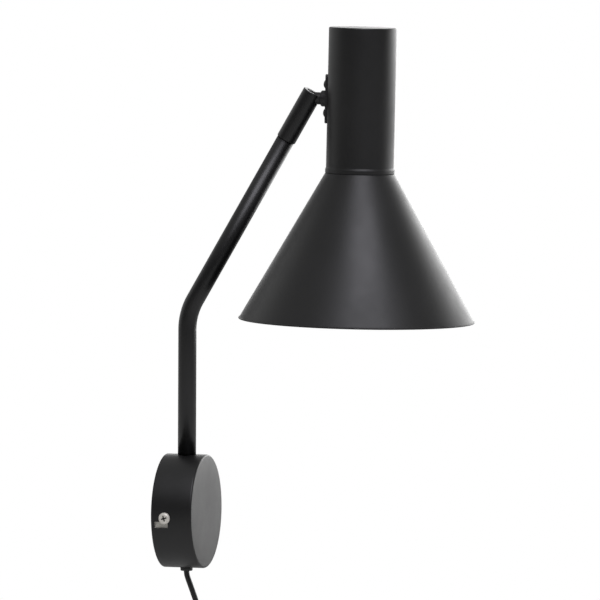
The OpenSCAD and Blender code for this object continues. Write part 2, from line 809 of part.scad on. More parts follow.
module holder_core() {
    color(ceramic) on_shade(core_foot) difference() {
        cylinder(r = barrel_r - 2.4, h = core_top - core_foot);
        for (side = [-1, 1])
            translate([side * 9, 0, core_top - core_foot - 5]) cylinder(r = 1.75 + eps, h = 10, $fn = 32);
        translate([0, 9, -1]) cylinder(r = 2, h = 40, $fn = 32);
        translate([0, 0, -1]) cylinder(r = 6.7, h = contact_pocket + 1, $fn = 64);
    }
}

module core_screws() {
    color(brass) on_shade(core_top - 5 + eps) for (side = [-1, 1])
        translate([side * 9, 0, 0]) cylinder(r = 1.75, h = 4.4, $fn = 32);
}

module thread_shell() {
    depth = barrel_below - 3.4;
    color(brass) on_shade(core_foot - depth - eps) difference() {
        cylinder(r = shell_in + 0.6, h = depth);
        translate([0, 0, -1]) cylinder(r = shell_in, h = depth + 0.4);
        cylinder(r = 7, h = depth + 1, $fn = 64);
    }
}

module centre_contact() {
    color(brass) on_shade(core_foot + contact_pocket) {
        translate([-2.5, -6, -0.6 - eps]) cube([5, 12, 0.6]);
        translate([-2.5, -6, -4]) cube([5, 0.6, 3.7]);
        translate([-2.5, -6, -4.6]) cube([5, 8, 0.6]);
    }
}

module shade_ring() {
    h = 7;
    grips = 24;
    color(black) on_shade(seam - cone_flange_t - eps - h) difference() {
        union() {
            cylinder(r = barrel_r + 3, h = h);
            for (i = [0 : grips - 1])
                rotate([0, 0, i * 360 / grips]) translate([barrel_r + 2.8, 0, 0])
                    cylinder(r = 0.7, h = h - 2, $fn = 16);
        }
        translate([0, 0, -1]) cylinder(r = barrel_r + eps, h = h + 2);
    }
}

module head_flex() {
    head_drop = leg_z + leg_t + 7;
    color("#242424") on_head()
        lead_tube([[0, -stem_end - 0.4, 0], [0.01, -stem_end - 3.5, -0.4],
                   [0, -shade_out + 4, head_drop + 7], [0, -shade_out, head_drop]], 2, 8, 5);
}

// ---- lead, inline switch and plug ----

module cord_upper() {
    color("#1f1f20") lead_tube(upper_route, lead_r, 10, 3);
}

module cord_lower() {
    color("#1f1f20") lead_tube(lower_route, lead_r, 10, 4);
}

module cord_tail() {
    color("#1f1f20") lead_tube(tail_route, lead_r, 10, 4);
}

module cord_coil() {
    half = coil_w / 2;
    cut = 2.4;
    color("#1f1f20") translate(coil_centre) facing_out() rotate_extrude($fn = 120)
        translate([coil_r, 0]) polygon([[-half, -half + cut], [-half + cut, -half], [half - cut, -half],
            [half, -half + cut], [half, half - cut], [half - cut, half], [-half + cut, half],
            [-half, half - cut]]);
}

module cord_tie() {
    t = 0.8;
    band = 8;
    color("#2a2a2c") translate(coil_centre + [-coil_r, 0, -band / 2]) difference() {
        linear_extrude(band) rounded_rect(coil_w + 2 * t, coil_w + 2 * t, 2.6, $fn = 32);
        translate([0, 0, -1]) linear_extrude(band + 2) rounded_rect(coil_w, coil_w, 2, $fn = 32);
    }
}

// Half of the switch's case: depth d from the parting plane z = 0, upright along Y
module switch_half(d) {
    wall = 1.6;
    difference() {
        union() {
            linear_extrude(d - 1.2) rounded_rect(switch_w, switch_len, switch_edge_r, $fn = 64);
            translate([0, 0, d - 1.2 - eps]) linear_extrude(1.2 + eps)
                rounded_rect(switch_w - 2, switch_len - 2, switch_edge_r - 1, $fn = 64);
        }
        translate([0, 0, -1]) linear_extrude(d - wall + 1)
            rounded_rect(switch_w - 2 * wall, switch_len - 2 * wall, switch_edge_r - wall, $fn = 64);
        rotate([90, 0, 0]) translate([0, 0, -switch_len]) cylinder(r = lead_r + eps, h = 2 * switch_len, $fn = 48);
    }
}

// Places children at the switch's middle, +Z away from the wall and +Y up
module on_switch() {
    translate([switch_at.x, switch_at.y, switch_top - switch_len / 2]) facing_out() children();
}

screw_y = switch_len / 2 - 8;

module switch_front() {
    color("#202022") on_switch() difference() {
        union() {
            translate([0, 0, eps]) switch_half(switch_front_d);
            for (side = [-1, 1])
                translate([side * 8.4, side * screw_y, eps])
                    cylinder(r = 2.6, h = switch_front_d - 1.4, $fn = 32);
            for (side = [-1, 1])
                translate([side * (rocker_w / 2 + 2.2) - 1.2, -3, 2.4]) cube([2.4, 6, 6.4]);
        }
        translate([-rocker_w / 2 - 0.3, -rocker_len / 2 - 0.4, 4])
            cube([rocker_w + 0.6, rocker_len + 0.8, 10]);
        for (side = [-1, 1])
            translate([side * 8.4, side * screw_y, -1]) cylinder(r = 1.25 + eps, h = 7, $fn = 24);
        translate([-9, 0, 5]) rotate([0, 90, 0]) cylinder(r = pin_r + eps, h = 18, $fn = 32);
    }
}

module switch_back() {
    color("#202022") on_switch() mirror([0, 0, 1]) difference() {
        union() {
            translate([0, 0, eps]) switch_half(switch_back_d);
            for (side = [-1, 1])
                translate([side * 8.4, side * screw_y, eps])
                    cylinder(r = 3.4, h = switch_back_d - 1.4, $fn = 32);
        }
        for (side = [-1, 1])
            translate([side * 8.4, side * screw_y, -1]) {
                cylinder(r = 1.4, h = 12, $fn = 24);
                translate([0, 0, switch_back_d - 2.4]) cylinder(r = 2.6, h = 6, $fn = 32);
            }
    }
}

module switch_screws() {
    color(zinc) on_switch() for (side = [-1, 1])
        translate([side * 8.4, side * screw_y, -switch_back_d + 3.4 - eps]) mirror([0, 0, 1]) {
            translate([0, 0, -9]) cylinder(r = 1.25, h = 9, $fn = 24);
            difference() {
                cylinder(r = 2.4, h = 1.5, $fn = 32);
                cross_recess(1.5, 0.9, 2.6);
            }
        }
}

// Tapered grommet: thick end on z = 0
module boot() {
    difference() {
        union() {
            cylinder(r1 = boot_thick_r, r2 = boot_thin_r, h = boot_len, $fn = 48);
            for (i = [0 : 2])
                translate([0, 0, 2.2 + i * 2.6]) cylinder(r = boot_thick_r - 0.1 - i * 0.45, h = 1.1, $fn = 48);
        }
        translate([0, 0, -1]) cylinder(r = lead_r + eps, h = boot_len + 2, $fn = 48);
    }
}

module switch_boots() {
    color("#202022") {
        translate([switch_at.x, switch_at.y, switch_top + eps]) boot();
        translate([switch_at.x, switch_at.y, switch_top - switch_len - eps]) mirror([0, 0, 1]) boot();
    }
}

module switch_contacts() {
    color(copper) on_switch() for (side = [-1, 1])
        translate([side * 5 - 1.5, side * 4 - 3, -4]) {
            cube([3, 6, 0.8]);
            translate([0, 2, 0]) cube([3, 1, 3.4]);
        }
}

module rocker_pin() {
    color(steel) on_switch() translate([-8.6, 0, 5]) rotate([0, 90, 0])
        cylinder(r = pin_r, h = 17.2, $fn = 32);
}

module switch_rocker() {
    half = rocker_len / 2;
    color("#202022") on_switch() difference() {
        translate([-rocker_w / 2, 0, 5]) rotate([rocker_tilt, 0, 0]) rotate([90, 0, 90])
            linear_extrude(rocker_w) polygon([[-half, 3.4], [-half + 0.8, 1.2], [-3, -2], [3, -2],
                [half - 0.8, 1.2], [half, 3.4], [half - 0.4, 6], [0, 4.6], [-half + 0.4, 6]]);
        translate([-10, 0, 5]) rotate([0, 90, 0]) cylinder(r = pin_r + run, h = 20, $fn = 32);
    }
}

module plug_body() {
    top = plug_at.z;
    color("#202022") translate([plug_at.x, plug_at.y, 0]) difference() {
        union() {
            translate([0, 0, top - plug_relief]) cylinder(r1 = 5.2, r2 = 3.1, h = plug_relief, $fn = 48);
            for (i = [0 : 4])
                translate([0, 0, top - 4 - i * 3.2]) cylinder(r = 3.9 + i * 0.34, h = 1.3, $fn = 48);
            hull() {
                translate([0, 0, top - plug_relief]) cylinder(r = 5.6, h = 1, $fn = 32);
                translate([0, 0, top - plug_relief - 18]) linear_extrude(1)
                    rounded_rect(plug_w - 5, plug_d - 1, 5, $fn = 32);
            }
            translate([0, 0, top - plug_relief - plug_len]) linear_extrude(plug_len - 17.5)
                rounded_rect(plug_w - 5, plug_d - 1, 5, $fn = 32);
            translate([0, 0, top - plug_relief - plug_len]) linear_extrude(5)
                rounded_rect(plug_w, plug_d, 6, $fn = 32);
        }
        for (side = [-1, 1])
            translate([side * plug_pitch / 2, 0, top - plug_relief - plug_len - 1])
                cylinder(r = plug_pin_r + eps, h = 11, $fn = 32);
    }
}

module plug_pins() {
    foot = plug_at.z - plug_relief - plug_len - plug_pin_len;
    color(brass) for (side = [-1, 1])
        translate([plug_at.x + side * plug_pitch / 2, plug_at.y, foot]) {
            cylinder(r1 = plug_pin_r - 1, r2 = plug_pin_r, h = 1.5, $fn = 32);
            translate([0, 0, 1.5]) cylinder(r = plug_pin_r, h = plug_pin_len + 8, $fn = 32);
        }
}

canopy();
wall_bracket();
hook_screws();
bearing_block();
block_nuts();
terminal_block();
terminal_screw();
cord_gland();
gland_nut();
grip_screw();
mains_tail();
supply_leads();
cord_upper();
switch_front();
switch_back();
switch_screws();
switch_boots();
switch_contacts();
rocker_pin();
switch_rocker();
cord_lower();
cord_coil();
cord_tie();
cord_tail();
plug_body();
plug_pins();
arm_tube();
retaining_collar();
stop_screw();
spring_washer();
arm_nipple();
joint_sleeve();
ball_seat();
disc_springs();
arm_flex();
ball_stud();
stem_washer();
stem_nut();
swivel_boss();
mounting_plate();
plate_screws();
housing();
holder_strap();
shade_cone();
holder_nipple();
nipple_nut();
holder_cap();
holder_body();
holder_core();
core_screws();
thread_shell();
centre_contact();
shade_ring();
head_flex();
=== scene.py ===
"""Wall reading light: round canopy, bent swinging arm, slotted ball joint, conical metal shade
and a plug-in lead with an inline switch.

Sizes in the classes are millimetres. Meshes are made metres as they are placed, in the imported
model's own frame: the wall is the plane Y = 0, the light stands out along -Y and Z is up.
"""

import json
import logging
import math
from dataclasses import dataclass, field, replace
from enum import Enum
from typing import Sequence

import bmesh
import bpy
from mathutils import Matrix, Vector


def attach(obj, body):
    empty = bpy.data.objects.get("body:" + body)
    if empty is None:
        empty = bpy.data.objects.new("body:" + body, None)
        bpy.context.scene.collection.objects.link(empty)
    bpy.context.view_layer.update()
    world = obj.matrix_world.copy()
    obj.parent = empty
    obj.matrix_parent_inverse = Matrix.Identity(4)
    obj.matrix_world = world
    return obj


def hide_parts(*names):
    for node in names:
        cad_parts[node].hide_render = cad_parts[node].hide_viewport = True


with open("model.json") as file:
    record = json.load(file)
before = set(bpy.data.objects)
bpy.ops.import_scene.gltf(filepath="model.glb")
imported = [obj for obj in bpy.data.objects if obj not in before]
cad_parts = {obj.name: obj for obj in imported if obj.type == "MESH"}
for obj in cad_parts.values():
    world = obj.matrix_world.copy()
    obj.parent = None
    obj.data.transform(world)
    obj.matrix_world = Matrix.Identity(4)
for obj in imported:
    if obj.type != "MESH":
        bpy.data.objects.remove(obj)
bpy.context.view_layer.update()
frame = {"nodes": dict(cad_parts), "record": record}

LOG = logging.getLogger("wall_light")
MM = 0.001
TURN = 2 * math.pi
CLEAR = 0.02  # gap between pieces that seat on each other, mm
LEAD_GAP = 0.05  # gap round the lead in a bore, mm
SHARP_DEG = 34.0  # edges that turn by more than this stay crisp

Flat = tuple[float, float]
Corner = tuple[float, float, float]
Point = tuple[float, float, float]
Colour = tuple[float, float, float]


class Body(Enum):
    """The moving bodies of the light."""

    ROOT = "root"
    ARM = "arm"
    KNUCKLE = "knuckle"
    HEAD = "head"
    ROCKER = "rocker"


class Slot(Enum):
    """The finishes that pieces are made in."""

    PAINT = "black_paint"
    BLACK_SCREW = "black_screw"
    ZINC = "zinc_plate"
    STEEL = "machined_steel"
    BRASS = "brass"
    COPPER = "copper"
    PLASTIC = "black_plastic"
    SHEATH = "lead_sheath"
    WIRE = "wire_sheath"
    TIE = "tie_fabric"
    PALE = "pale_plastic"
    PORCELAIN = "porcelain"


# ---- the light's shared sizes ----


@dataclass(frozen=True)
class Layout:
    """Sizes that more than one sub-assembly works from."""

    arm_out: float = 15.9
    riser: float = 152.0
    slope: float = 192.0
    bend_deg: float = 30.0
    lean_deg: float = 1.0
    shade_out: float = 40.8
    canopy_r: float = 43.7
    housing_r: float = 25.8
    seam_z: float = -56.1
    lead_r: float = 2.2

    @property
    def ball(self) -> Vector:
        """Centre of the ball joint."""
        return self.on_slope(self.slope)

    def on_slope(self, along: float) -> Vector:
        """Point on the arm's slope, at a way along it from the bend."""
        bend = math.radians(self.bend_deg)
        return Vector((0, -self.arm_out - along * math.sin(bend), self.riser + along * math.cos(bend)))

    def upright(self, z: float) -> Matrix:
        """Placement on the arm's upright axis, at height z."""
        return Matrix.Translation((0, -self.arm_out, z))

    def sloping(self) -> Matrix:
        """Placement at the ball's centre with Z up the arm's slope."""
        return Matrix.Translation(self.ball) @ Matrix.Rotation(math.radians(self.bend_deg), 4, "X")

    def head(self) -> Matrix:
        """Placement at the ball's centre with the head's lean."""
        return Matrix.Translation(self.ball) @ Matrix.Rotation(math.radians(self.lean_deg), 4, "X")

    def shade(self) -> Matrix:
        """Placement on the shade's axis, level with the stem."""
        return self.head() @ Matrix.Translation((0, -self.shade_out, 0))

    def stem(self, along: float) -> Matrix:
        """Placement on the stem, with Z away from the wall."""
        return self.head() @ Matrix.Translation((0, -along, 0)) @ facing_out()


def facing_out() -> Matrix:
    """Turns Z to point away from the wall, with Y up."""
    return Matrix.Rotation(math.pi / 2, 4, "X")


LAYOUT = Layout()


# ---- outlines ----


def rounded(corners: Sequence[Corner], steps: int = 5, closed: bool = True) -> list[Flat]:
    """Rounds the corners of an outline.

    Args:
        corners: points as (a, b, radius), radius 0 for a sharp corner.
        steps: spans in each rounded corner.
        closed: whether the last point joins the first.

    Returns:
        The outline's points in the same order.
    """
    points: list[Flat] = []
    count = len(corners)
    for i, (a, b, radius) in enumerate(corners):
        here = Vector((a, b))
        if radius <= 0 or (not closed and i in (0, count - 1)):
            points.append((a, b))
            continue
        before = Vector(corners[i - 1][:2]) - here
        after = Vector(corners[(i + 1) % count][:2]) - here
        half = before.angle(after) / 2
        reach = min(radius / math.tan(half), 0.49 * before.length, 0.49 * after.length)
        radius = reach * math.tan(half)
        start, end = here + before.normalized() * reach, here + after.normalized() * reach
        centre = here + (before.normalized() + after.normalized()).normalized() * math.hypot(reach, radius)
        first, last = start - centre, end - centre
        sweep = first.angle_signed(last)
        for k in range(steps + 1):
            spoke = first.copy()
            spoke.rotate(Matrix.Rotation(-sweep * k / steps, 2))
            points.append(tuple(centre + spoke))
    return points


def arc(centre: Flat, radius: float, start_deg: float, end_deg: float, steps: int) -> list[Flat]:
    """Points of an arc, ends included."""
    angles = [math.radians(start_deg + (end_deg - start_deg) * k / steps) for k in range(steps + 1)]
    return [(centre[0] + radius * math.cos(a), centre[1] + radius * math.sin(a)) for a in angles]


def round_rect(width: float, height: float, radius: float, steps: int = 8) -> list[Flat]:
    """Rounded rectangle about the origin.

    Args:
        width: size along the first axis.
        height: size along the second axis.
        radius: corner radius, kept within the half sizes.
        steps: spans in each corner.

    Returns:
        Its points, always the same number for one steps value.
    """
    radius = max(min(radius, width / 2, height / 2), 0.01)
    points: list[Flat] = []
    for turn, (sx, sy) in enumerate(((1, 1), (-1, 1), (-1, -1), (1, -1))):
        middle = (sx * (width / 2 - radius), sy * (height / 2 - radius))
        points += arc(middle, radius, 90 * turn, 90 * turn + 90, steps)
    return points


def spaced(start: Flat, end: Flat, count: int) -> list[Flat]:
    """Points between start and end, both left out."""
    return [tuple(Vector(start).lerp(Vector(end), k / (count + 1))) for k in range(1, count + 1)]


# ---- meshes ----


def put_in_scene(name: str, data: bpy.types.ID) -> bpy.types.Object:
    """Makes an object and links it to the scene.

    Args:
        name: the object's name.
        data: its mesh, curve, light or camera.

    Returns:
        The object, at the origin and unturned.
    """
    made = bpy.data.objects.new(name, data)
    bpy.context.scene.collection.objects.link(made)
    return made


def shade_smooth(bm: bmesh.types.BMesh, sharp_deg: float) -> None:
    """Shades a mesh smooth, and keeps its crisp and open edges.

    Args:
        bm: the mesh.
        sharp_deg: edges that turn by more than this stay crisp.
    """
    limit = math.radians(sharp_deg)
    for face in bm.faces:
        face.smooth = True
    for edge in bm.edges:
        edge.smooth = len(edge.link_faces) == 2 and edge.calc_face_angle(0) < limit


def seal(bm: bmesh.types.BMesh, name: str, place: Matrix, sharp_deg: float = SHARP_DEG) -> bpy.types.Object:
    """Turns a closed bmesh in millimetres into a placed object in metres.

    Args:
        bm: the mesh, which is freed.
        name: the piece's name.
        place: its placement, in millimetres.
        sharp_deg: edges that turn by more than this stay crisp.

    Returns:
        The object, at the origin and untransformed.
    """
    bmesh.ops.remove_doubles(bm, verts=bm.verts, dist=1e-5)
    bmesh.ops.recalc_face_normals(bm, faces=bm.faces)
    bm.transform(Matrix.Scale(MM, 4) @ place)
    shade_smooth(bm, sharp_deg)
    mesh = bpy.data.meshes.new(name)
    bm.to_mesh(mesh)
    bm.free()
    return put_in_scene(name, mesh)


def loft_rings(bm: bmesh.types.BMesh, rings: Sequence[Sequence[Vector]], wrap: bool, caps: bool) -> None:
    """Joins rings of equal length with quads; a ring of one point is a pole.

    Args:
        bm: the mesh to add to.
        rings: the rings in order.
        wrap: joins the last ring to the first.
        caps: closes the first and last ring with a face.
    """
    rows = [[bm.verts.new(p) for p in ring] for ring in rings]
    pairs = list(zip(rows, rows[1:])) + ([(rows[-1], rows[0])] if wrap else [])
    for low, high in pairs:
        count = max(len(low), len(high))
        for k in range(count if count > 1 else 0):
            m = (k + 1) % count
            if len(low) == 1:
                bm.faces.new((low[0], high[m], high[k]))
            elif len(high) == 1:
                bm.faces.new((low[k], low[m], high[0]))
            else:
                bm.faces.new((low[k], low[m], high[m], high[k]))
    if caps:
        for row in (rows[0], rows[-1]):
            if len(row) > 2:
                bm.faces.new(row)


def lathe(name: str, outline: Sequence[Flat], place: Matrix, steps: int = 96, wrap: bool = True,
          sharp_deg: float = SHARP_DEG) -> bpy.types.Object:
    """Turns an outline of (radius, height) points about Z.

    Args:
        name: the piece's name.
        outline: the section; points at radius 0 become poles.
        place: placement in millimetres.
        steps: spans round the axis.
        wrap: whether the section is a closed loop that keeps off the axis.
        sharp_deg: edges that turn by more than this stay crisp.

    Returns:
        The turned object.
    """
    spokes = [(math.cos(TURN * k / steps), math.sin(TURN * k / steps)) for k in range(steps)]
    rings = []
    for radius, height in outline:
        if radius < 1e-6:
            rings.append([Vector((0, 0, height))])
        else:
            rings.append([Vector((radius * x, radius * y, height)) for x, y in spokes])
    bm = bmesh.new()
    loft_rings(bm, rings, wrap, False)
    return seal(bm, name, place, sharp_deg)


def stack(name: str, sections: Sequence[tuple[Sequence[Flat], float]], place: Matrix, wrap: bool = False,
          sharp_deg: float = SHARP_DEG) -> bpy.types.Object:
    """Lofts flat outlines, each at its own height along Z.

    Args:
        name: the piece's name.
        sections: pairs of outline and height.
        place: placement in millimetres.
        wrap: joins the last section to the first, for a frame with a hole.
        sharp_deg: edges that turn by more than this stay crisp.

    Returns:
        The lofted object.
    """
    bm = bmesh.new()
    loft_rings(bm, [[Vector((x, y, z)) for x, y in outline] for outline, z in sections], wrap, not wrap)
    return seal(bm, name, place, sharp_deg)


def soft_edge(depth: float, radius: float, steps: int = 4) -> list[Flat]:
    """Insets and heights that round an edge which ends at depth."""
    return [(radius * (1 - math.cos(a)), depth - radius * (1 - math.sin(a)))
            for a in (math.pi / 2 * k / steps for k in range(steps + 1))]


def cut(piece: bpy.types.Object, cutters: Sequence[bpy.types.Object]) -> bpy.types.Object:
    """Cuts cutters out of piece one after another, and removes them.

    Args:
        piece: the object to cut.
        cutters: closed objects.

    Returns:
        The same object with its new mesh.
    """
    for cutter in cutters:
        tool = piece.modifiers.new("cut", "BOOLEAN")
        tool.operation, tool.solver, tool.object = "DIFFERENCE", "EXACT", cutter
        settle(piece)
        bpy.data.objects.remove(cutter)
    merge = 2e-6
    bm = bmesh.new()
    bm.from_mesh(piece.data)
    bmesh.ops.remove_doubles(bm, verts=bm.verts, dist=merge)
    bmesh.ops.dissolve_degenerate(bm, edges=bm.edges, dist=merge)
    shade_smooth(bm, SHARP_DEG)
    bm.to_mesh(piece.data)
    bm.free()
    return piece


def settle(piece: bpy.types.Object) -> None:
    """Applies every modifier of a piece to its mesh.

    Args:
        piece: the object, which keeps its name.
    """
    mesh = bpy.data.meshes.new_from_object(piece.evaluated_get(bpy.context.evaluated_depsgraph_get()))
    piece.modifiers.clear()
    piece.data = mesh
    mesh.name = piece.name


def join(name: str, pieces: Sequence[bpy.types.Object]) -> bpy.types.Object:
    """Makes one object of several that lie at the origin and share one finish.

    Args:
        name: the new object's name.
        pieces: the objects, which are removed.

    Returns:
        The joined object.
    """
    bm = bmesh.new()
    for piece in pieces:
        bm.from_mesh(piece.data)
    mesh = bpy.data.meshes.new(name)
    bm.to_mesh(mesh)
    bm.free()
    for material in pieces[0].data.materials:
        mesh.materials.append(material)
    for piece in pieces:
        bpy.data.objects.remove(piece)
    return put_in_scene(name, mesh)


# ---- node trees ----


def add_node(tree: bpy.types.NodeTree, kind: str, links: dict[str, object] | None = None,
             **settings: object) -> bpy.types.Node:
    """Adds a node, sets its properties and fills its inputs.

    Args:
        tree: the tree to add to.
        kind: the node's type.
        links: input name or number to a socket or a plain value.
        settings: node properties.

    Returns:
        The node.
    """
    made = tree.nodes.new(kind)
    for key, value in settings.items():
        setattr(made, key, value)
    for key, value in (links or {}).items():
        socket = made.inputs[int(key)] if key.isdigit() else made.inputs[key]
        if isinstance(value, bpy.types.NodeSocket):
            tree.links.new(value, socket)
        else:
            socket.default_value = value
    return made


def calc(tree: bpy.types.NodeTree, operation: str, *values: object) -> bpy.types.NodeSocket:
    """Adds a maths node to a tree and returns its result."""
    links = {str(number): value for number, value in enumerate(values)}
    return add_node(tree, "ShaderNodeMath", links, operation=operation).outputs[0]


class NodeMaker:
    """Builds the inside of a node group that has named inputs."""

    def __init__(self, name: str, kind: str) -> None:
        """Starts an empty group.

        Args:
            name: the group's name.
            kind: the type of its tree.
        """
        self.tree = bpy.data.node_groups.new(name, kind)
        self.start = self.tree.nodes.new("NodeGroupInput")
        self.end = self.tree.nodes.new("NodeGroupOutput")

    def value(self, name: str, kind: str = "Float", default: object = None) -> bpy.types.NodeSocket:
        """Adds a named input.

        Args:
            name: the input's name.
            kind: the type of its socket.
            default: its value where none is set.

        Returns:
            The input's socket inside the group.
        """
        socket = self.tree.interface.new_socket(name, in_out="INPUT", socket_type="NodeSocket" + kind)
        if default is not None:
            socket.default_value = default
        return self.start.outputs[name]

    def output(self, name: str, kind: str, source: bpy.types.NodeSocket) -> None:
        """Adds a named output that is fed by source."""
        self.tree.interface.new_socket(name, in_out="OUTPUT", socket_type="NodeSocket" + kind)
        self.tree.links.new(source, self.end.inputs[name])

    def node(self, kind: str, links: dict[str, object] | None = None, **settings: object) -> bpy.types.Node:
        """Adds a node with its properties and inputs set."""
        return add_node(self.tree, kind, links, **settings)

    def calc(self, operation: str, *values: object) -> bpy.types.NodeSocket:
        """Adds a maths node and returns its result."""
        return calc(self.tree, operation, *values)


class TreeMaker(NodeMaker):
    """Builds a geometry node tree with named inputs."""

    def __init__(self, name: str) -> None:
        """Starts a tree that takes in a geometry."""
        super().__init__(name, "GeometryNodeTree")
        self.given = self.value("Geometry", "Geometry")

    def close(self, geometry: bpy.types.NodeSocket) -> bpy.types.NodeTree:
        """Ends the tree: realizes the instances and sets the material.

        Args:
            geometry: what the tree has made.

        Returns:
            The tree.
        """
        material = self.value("Finish", "Material")
        real = self.node("GeometryNodeRealizeInstances", {"Geometry": geometry})
        dressed = self.node("GeometryNodeSetMaterial", {"Geometry": real.outputs[0], "Material": material})
        self.output("Geometry", "Geometry", dressed.outputs[0])
        return self.tree

    def swept(self, path: bpy.types.Node, section: bpy.types.Node, capped: bool) -> bpy.types.NodeTree:
        """Ends the tree with a smooth skin of a section along a path.

        Args:
            path: the node that makes the path.
            section: the node that makes the section.
            capped: whether the skin's ends are closed.

        Returns:
            The tree.
        """
        skin = self.node("GeometryNodeCurveToMesh", {
            "Curve": path.outputs[0], "Profile Curve": section.outputs[0], "Fill Caps": capped})
        return self.close(self.node("GeometryNodeSetShadeSmooth", {"Geometry": skin.outputs[0]}).outputs[0])


def row_tree() -> bpy.types.NodeTree:
    """Copies of a piece along a line, each turned and shrunk a step further than the last.

    Returns:
        The tree.
    """
    make = TreeMaker("pieces_in_a_row")
    count = make.value("Count", "Int", 2)
    first = make.value("First", "Vector")
    step = make.value("Step", "Vector")
    turn = make.value("Turn", "Vector")
    shrink = make.value("Shrink", "Float", 0.0)
    line = make.node("GeometryNodeMeshLine", {"Count": count, "Start Location": first, "Offset": step})
    index = make.node("GeometryNodeInputIndex").outputs[0]
    turned = make.node("ShaderNodeVectorMath", {"0": turn, "Scale": index}, operation="SCALE")
    size = make.calc("SUBTRACT", 1.0, make.calc("MULTIPLY", index, shrink))
    wide = make.node("ShaderNodeCombineXYZ", {"X": size, "Y": size, "Z": 1.0})
    turning = make.node("FunctionNodeEulerToRotation", {"Euler": turned.outputs[0]})
    placed = make.node("GeometryNodeInstanceOnPoints", {
        "Points": line.outputs[0], "Instance": make.given,
        "Rotation": turning.outputs[0], "Scale": wide.outputs[0]})
    return make.close(placed.outputs[0])


def ring_tree() -> bpy.types.NodeTree:
    """Copies of a piece round a circle, each facing outwards.

    Returns:
        The tree.
    """
    make = TreeMaker("pieces_in_a_ring")
    count = make.value("Count", "Int", 24)
    radius = make.value("Radius", "Float", 10.0)
    circle = make.node("GeometryNodeMeshCircle", {"Vertices": count, "Radius": radius})
    index = make.node("GeometryNodeInputIndex").outputs[0]
    angle = make.calc("MULTIPLY", index, make.calc("DIVIDE", TURN, count))
    euler = make.node("ShaderNodeCombineXYZ", {"Z": angle})
    turning = make.node("FunctionNodeEulerToRotation", {"Euler": euler.outputs[0]})
    placed = make.node("GeometryNodeInstanceOnPoints", {
        "Points": circle.outputs[0], "Instance": make.given, "Rotation": turning.outputs[0]})
    return make.close(placed.outputs[0])


def thread_tree() -> bpy.types.NodeTree:
    """The ridge of a screw thread: a round section swept along a helix.

    Returns:
        The tree.
    """
    make = TreeMaker("thread_ridge")
    turns = make.value("Turns", "Float", 4.0)
    radius = make.value("Radius", "Float", 10.0)
    rise = make.value("Rise", "Float", 10.0)
    ridge = make.value("Ridge", "Float", 0.5)
    spiral = make.node("GeometryNodeCurveSpiral", {
        "Resolution": 64, "Rotations": turns, "Start Radius": radius, "End Radius": radius, "Height": rise})
    section = make.node("GeometryNodeCurvePrimitiveCircle", {"Resolution": 8, "Radius": ridge}, mode="RADIUS")
    return make.swept(spiral, section, True)


def bent_tube_tree() -> bpy.types.NodeTree:
    """A tube's outer skin along a line whose corners are bent to a radius.

    Returns:
        The tree.
    """
    make = TreeMaker("bent_tube")
    radius = make.value("Tube Radius", "Float", 6.0)
    bend = make.value("Bend Radius", "Float", 60.0)
    steps = make.value("Bend Steps", "Int", 40)
    sides = make.value("Sides", "Int", 64)
    line = make.node("GeometryNodeMeshToCurve", {"Mesh": make.given})
    bent = make.node("GeometryNodeFilletCurve", {"Curve": line.outputs[0], "Count": steps, "Radius": bend},
                     mode="POLY")
    section = make.node("GeometryNodeCurvePrimitiveCircle", {"Resolution": sides, "Radius": radius},
                        mode="RADIUS")
    return make.swept(bent, section, False)


def grow(base: bpy.types.Object, name: str, tree: bpy.types.NodeTree, values: dict[str, object],
         place: Matrix) -> bpy.types.Object:
    """Runs a tree on an object and makes its result a plain placed mesh.

    Args:
        base: the object that the tree works on, which is removed.
        name: the new piece's name.
        tree: the geometry node tree.
        values: input name to value.
        place: placement of the result, in millimetres.

    Returns:
        The new piece in metres, at the origin.
    """
    modifier = base.modifiers.new(tree.name, "NODES")
    modifier.node_group = tree
    for item in tree.interface.items_tree:
        if item.item_type == "SOCKET" and item.in_out == "INPUT" and item.name in values:
            modifier[item.identifier] = values[item.name]
    mesh = bpy.data.meshes.new_from_object(base.evaluated_get(bpy.context.evaluated_depsgraph_get()))
    base.modifiers.remove(modifier)
    bpy.data.objects.remove(base)
    mesh.transform(Matrix.Scale(MM, 4) @ place)
    mesh.name = name
    return put_in_scene(name, mesh)


def as_millimetres(piece: bpy.types.Object) -> bpy.types.Object:
    """Takes a piece made at metres back to millimetres, for use inside a tree."""
    piece.data.transform(Matrix.Scale(1 / MM, 4))
    return piece


def seed_mesh(points: Sequence[Vector]) -> bpy.types.Object:
    """An object of points joined by edges, for a tree to start from."""
    mesh = bpy.data.meshes.new("seed")
    mesh.from_pydata([tuple(p) for p in points], [(i, i + 1) for i in range(len(points) - 1)], [])
    return put_in_scene("seed", mesh)


# ---- shader groups and finishes ----


class GroupMaker(NodeMaker):
    """Builds a shader node group whose outputs are masks and heights."""

    def __init__(self, name: str) -> None:
        """Starts a group that takes in a place on the surface."""
        super().__init__(name, "ShaderNodeTree")
        self.where = self.value("Vector", "Vector")

    def noise(self, scale: object, detail: float, **more: float) -> bpy.types.NodeSocket:
        """Adds a noise texture and returns its level."""
        links = {"Vector": self.where, "Scale": scale, "Detail": detail, **more}
        return self.node("ShaderNodeTexNoise", links).outputs["Fac"]

    def between(self, value: bpy.types.NodeSocket, low: float, high: float) -> bpy.types.NodeSocket:
        """Stretches a value so that low becomes 0 and high becomes 1."""
        return self.node("ShaderNodeMapRange", {"Value": value, "From Min": low, "From Max": high}).outputs[0]


